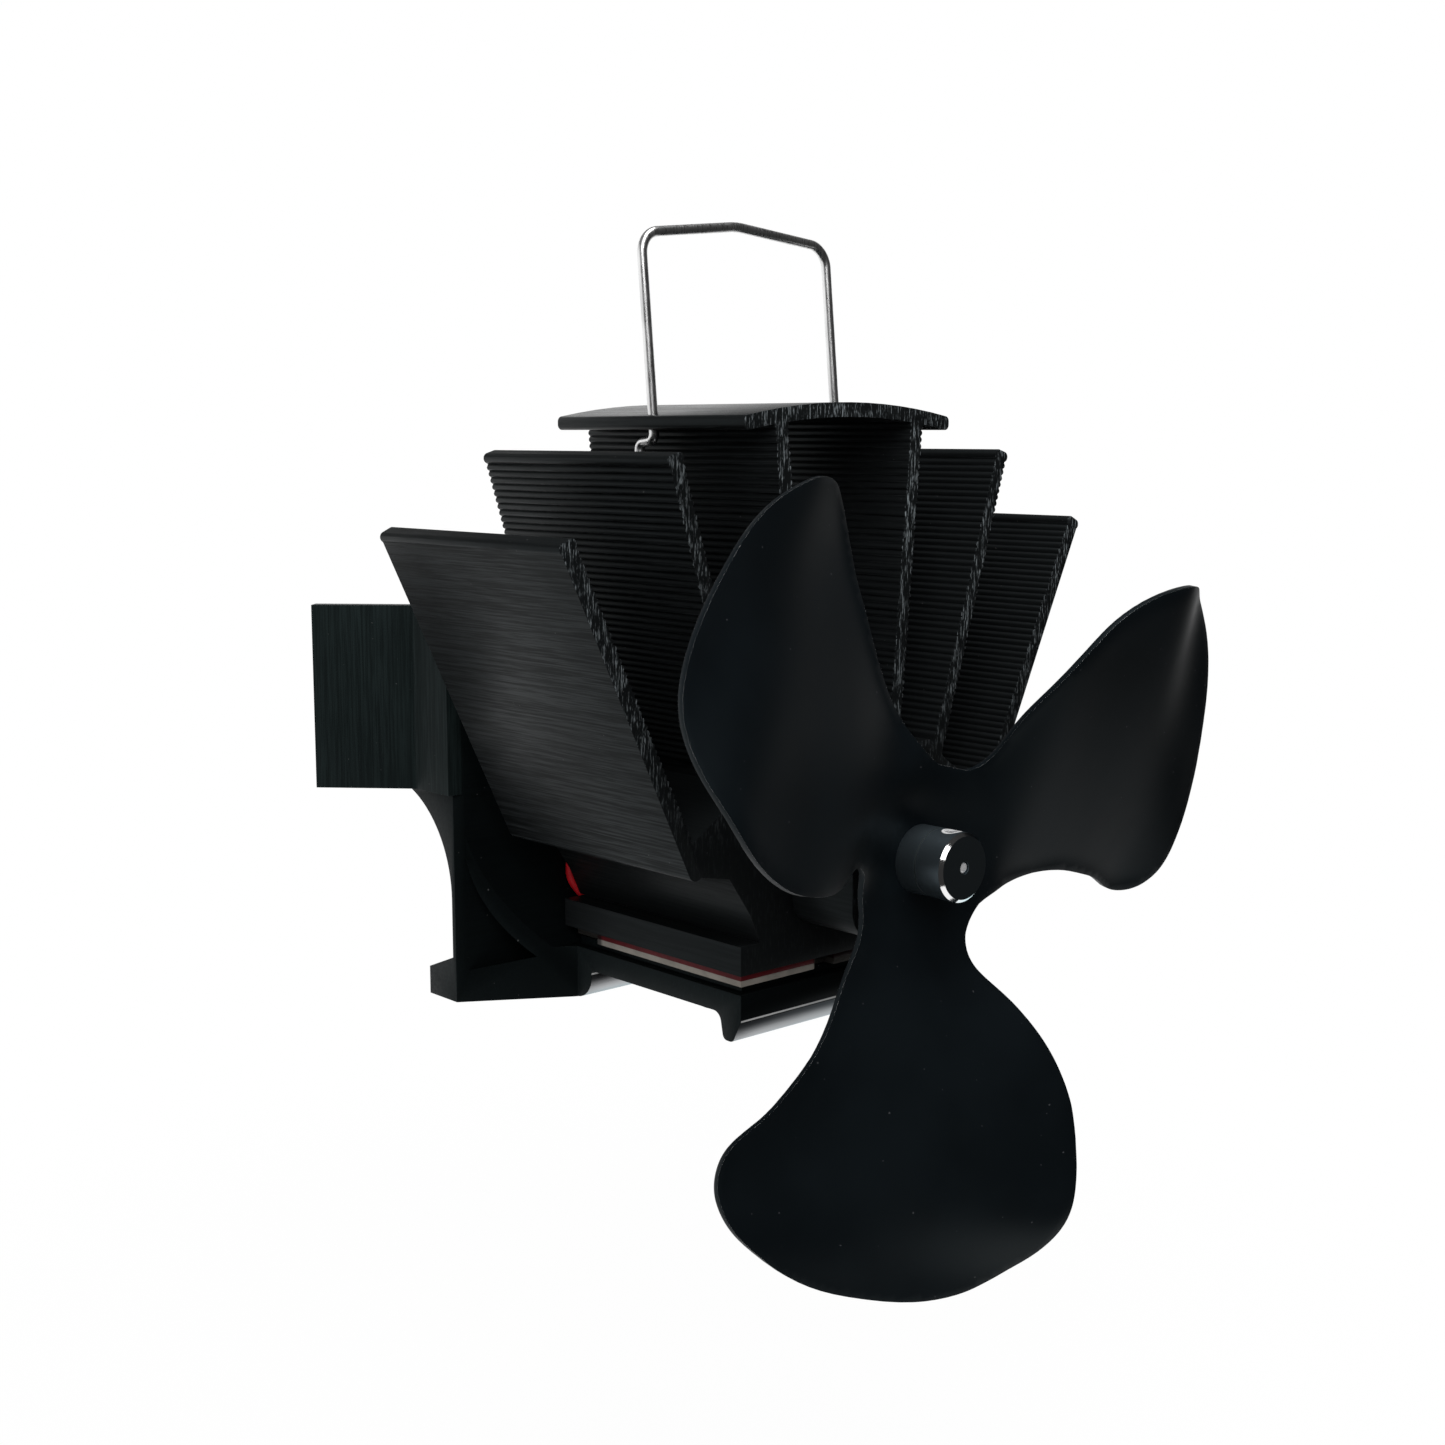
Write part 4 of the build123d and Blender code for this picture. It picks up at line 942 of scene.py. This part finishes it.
class STOVEFAN_OT_blades(bpy.types.Operator):
    """Three twisted blades in one stamping"""

    bl_idname = "stovefan.blades"
    bl_label = "Blades"

    def execute(self, context):
        source = merged_copy("fan_blades", "blades_pattern")
        tree = BVHTree.FromObject(source, context.evaluated_depsgraph_get())
        low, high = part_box("fan_blades")
        cell = sizes().blade_cell
        low = low - Vector((6 * cell, 0, 6 * cell))
        cells = int((max(high.x - low.x, high.z - low.z)) / cell) + 12
        rows = heights_over(tree, low, cells, cell)
        skin = spread(rows, 2)
        soft = spread(rows, 5)
        spacing = sizes().blade_rim_step
        centre = Vector((SHAFT.x, SHAFT.z))
        rim = even_points(front_outline(source, tree), spacing)
        rim = eased_notches(rim, spacing, centre, sizes().notch_reach)
        bpy.data.objects.remove(source)
        notches = notch_corners(rim, centre)
        points = rim + inner_net(rim, low, high, sizes().blade_net)
        edges = [(k, (k + 1) % len(rim)) for k in range(len(rim))]
        laid = delaunay_2d_cdt(points, edges, [], 1, 1e-7)
        bore = sizes().blade_bore
        spots = []
        for point in laid[0]:
            ease = softness(point, notches, centre)
            height = read_heights(skin, low, cell, point.x, point.y) * (1 - ease)
            height += read_heights(soft, low, cell, point.x, point.y) * ease
            spots.append((point.x, height, point.y))
        sheet = bpy.data.meshes.new("stamped_blades")
        kept = [
            face for face in laid[2]
            if (sum((laid[0][v] for v in face), Vector((0, 0))) / len(face) - centre).length > bore
        ]
        sheet.from_pydata(spots, [], kept)
        piece = bpy.data.objects.new("stamped_blades", sheet)
        context.scene.collection.objects.link(piece)
        select_only(piece)
        bpy.ops.object.mode_set(mode="EDIT")
        bpy.ops.mesh.select_all(action="SELECT")
        bpy.ops.mesh.delete_loose()
        bpy.ops.mesh.select_all(action="SELECT")
        bpy.ops.mesh.normals_make_consistent(inside=False)
        bpy.ops.object.mode_set(mode="OBJECT")
        if sum(face.normal.y for face in sheet.polygons) > 0:
            sheet.flip_normals()
        apply_modifier(piece, "SOLIDIFY", thickness=sizes().blade_sheet, offset=-1.0, use_even_offset=True)
        sheet.materials.append(None)
        sheet.materials.append(None)
        apply_modifier(
            piece,
            "BEVEL",
            width=sizes().blade_break,
            segments=2,
            limit_method="ANGLE",
            angle_limit=math.radians(60.0),
            use_clamp_overlap=True,
            material=1,
        )
        mark_highlit_rim(piece)
        bpy.ops.object.shade_smooth_by_angle(angle=math.radians(50.0))
        take_place(piece, "fan_blades", blade_finish("satin_blade_coat", colours().blade))
        return {"FINISHED"}


# The red lead's points from the module to the motor; the black one is its mirror image
LEAD_ROUTE = [
    (-0.0110, -0.02005, -0.0429),
    (-0.0114, -0.01570, -0.0428),
    (-0.0140, -0.01200, -0.0399),
    (-0.0194, -0.01000, -0.0372),
    (-0.0216, -0.00820, -0.0322),
    (-0.0172, -0.00760, -0.0255),
    (-0.0086, -0.00890, -0.0219),
    (-0.0062, -0.01370, -0.0207),
    (-0.0056, -0.02230, -0.0219),
    (-0.0060, -0.04220, -0.0226),
]


def lead_line(name, side, width):
    """A soft lead on one smooth line through the route's points."""
    line = bpy.data.curves.new(name, "CURVE")
    line.dimensions = "3D"
    run = line.splines.new("NURBS")
    run.points.add(len(LEAD_ROUTE) - 1)
    for point, (across, depth, height) in zip(run.points, LEAD_ROUTE):
        point.co = (side * across, depth, height, 1.0)
    run.order_u = 3
    run.use_endpoint_u = True
    run.resolution_u = 12
    line.bevel_depth = width / 2
    line.bevel_resolution = 6
    line.use_fill_caps = True
    piece = bpy.data.objects.new(name, line)
    bpy.context.scene.collection.objects.link(piece)
    return piece


class STOVEFAN_OT_leads(bpy.types.Operator):
    """Red and black leads from the module to the motor"""

    bl_idname = "stovefan.leads"
    bl_label = "Leads"

    def execute(self, context):
        leads = (
            ("red_lead", "red_sleeving", colours().red_sleeve, 1),
            ("black_lead", "black_sleeving", colours().black_sleeve, -1),
        )
        for node, name, tone, side in leads:
            piece = lead_line(name, side, sizes().lead_diameter)
            take_place(piece, node, soft_finish(name, tone, 0.4, 900.0))
        return {"FINISHED"}


def studio_light(name, place, size, power):
    """A soft lamp that looks at the origin."""
    lamp = bpy.data.lights.new(name, "AREA")
    lamp.shape = "RECTANGLE"
    lamp.size, lamp.size_y = size
    lamp.energy = power
    holder = bpy.data.objects.new(name, lamp)
    holder.location = place
    holder.rotation_euler = (-Vector(place)).to_track_quat("-Z", "Y").to_euler()
    bpy.context.scene.collection.objects.link(holder)


def pale_floor():
    """A floor that looks as white as the background and keeps the object's shadow."""
    pale = bpy.data.materials.new("pale_floor")
    wires = Wiring(pale)
    spot = wires.node("ShaderNodeTexCoord").outputs["Object"]
    away = wires.length(wires.axis(spot, "X") - FLOOR_X, wires.axis(spot, "Y") - FLOOR_Y)
    plain = wires.step(away, 0.1, 0.3, 0.94, 1.0)
    seen = wires.rays("Is Camera Ray", "Is Glossy Ray", "Is Transmission Ray") * plain
    matt = wires.node("ShaderNodeBsdfDiffuse", {}, {"Color": (0.9, 0.9, 0.9, 1.0)})
    glow = wires.node("ShaderNodeEmission", {}, {"Color": WHITE, "Strength": 1.0})
    both = wires.node("ShaderNodeMixShader", {}, {0: seen, 1: matt.outputs[0], 2: glow.outputs[0]})
    wires.node("ShaderNodeOutputMaterial", {}, {"Surface": both.outputs[0]})
    return pale


def white_studio():
    """White to the camera; reflections see a bright low background behind and a dark room."""
    world = bpy.data.worlds.new("white_studio")
    wires = Wiring(world)
    way = wires.node("ShaderNodeTexCoord").outputs["Generated"]
    behind = wires.step(wires.axis(way, "Y"), -0.2, 0.45)
    low_down = wires.step(wires.axis(way, "Z"), 0.3, 0.6, 1.0, 0.05)
    mirrored = wires.rays("Is Glossy Ray") * (behind * low_down * 0.97 + 0.03)
    strength = wires.rays("Is Camera Ray", "Is Transmission Ray") + mirrored
    strength = strength + wires.rays("Is Diffuse Ray") * 0.5
    sky = wires.node("ShaderNodeBackground", {}, {"Color": WHITE, "Strength": strength})
    wires.node("ShaderNodeOutputWorld", {}, {"Surface": sky.outputs[0]})
    return world


def photo_camera():
    lens = bpy.data.cameras.new("photo_camera")
    lens.sensor_width = 36.0
    lens.lens = sizes().camera_lens
    lens.clip_start = 0.01
    holder = bpy.data.objects.new("photo_camera", lens)
    level = math.cos(CAMERA_DIP)
    look = Vector((level * math.sin(CAMERA_TURN), level * math.cos(CAMERA_TURN), -math.sin(CAMERA_DIP)))
    holder.location = CAMERA_PLACE
    holder.rotation_euler = look.to_track_quat("-Z", "Y").to_euler()
    bpy.context.scene.collection.objects.link(holder)
    return holder


class STOVEFAN_OT_stage(bpy.types.Operator):
    """Floor, white surroundings, lamps and camera"""

    bl_idname = "stovefan.stage"
    bl_label = "Stage"

    def execute(self, context):
        deselect()
        bpy.ops.mesh.primitive_circle_add(
            vertices=96, radius=sizes().floor_radius, fill_type="NGON", location=(0, 0, 0)
        )
        floor = context.active_object
        floor.name = "floor"
        floor.data.transform(Matrix.Translation((FLOOR_X, FLOOR_Y, sizes().floor_height)))
        give(floor, pale_floor())
        context.scene.world = white_studio()
        studio_light("front_softbox", (-0.55, -0.7, 0.72), (0.8, 0.9), 6.0)
        studio_light("top_softbox", (0.0, -0.2, 1.1), (0.6, 0.6), 7.0)
        context.scene.camera = photo_camera()
        context.scene.view_settings.view_transform = "Standard"
        return {"FINISHED"}


class STOVEFAN_PT_panel(bpy.types.Panel):
    """Lists the fan's pieces and settings"""

    bl_label = "Stove fan"
    bl_idname = "STOVEFAN_PT_panel"
    bl_space_type = "VIEW_3D"
    bl_region_type = "UI"
    bl_category = "Stove fan"

    def draw(self, context):
        for piece in PIECES:
            self.layout.operator(piece.bl_idname)
        for group in (context.scene.stove_fan_colours, context.scene.stove_fan_sizes):
            for name in group.__annotations__:
                self.layout.prop(group, name)


PIECES = (
    STOVEFAN_OT_heat_sink,
    STOVEFAN_OT_carry_handle,
    STOVEFAN_OT_hot_base,
    STOVEFAN_OT_flue_saddle,
    STOVEFAN_OT_module,
    STOVEFAN_OT_clamps,
    STOVEFAN_OT_motor,
    STOVEFAN_OT_rotor,
    STOVEFAN_OT_blades,
    STOVEFAN_OT_leads,
    STOVEFAN_OT_stage,
)
CLASSES = (StoveFanColours, StoveFanSizes, *PIECES, STOVEFAN_PT_panel)


def register():
    for listed in CLASSES:
        bpy.utils.register_class(listed)
    bpy.types.Scene.stove_fan_colours = PointerProperty(type=StoveFanColours)
    bpy.types.Scene.stove_fan_sizes = PointerProperty(type=StoveFanSizes)


def unregister():
    del bpy.types.Scene.stove_fan_sizes
    del bpy.types.Scene.stove_fan_colours
    for listed in reversed(CLASSES):
        bpy.utils.unregister_class(listed)


def main():
    register()
    for piece in PIECES:
        group, name = piece.bl_idname.split(".")
        getattr(getattr(bpy.ops, group), name)()


if __name__ == "__main__":
    main()
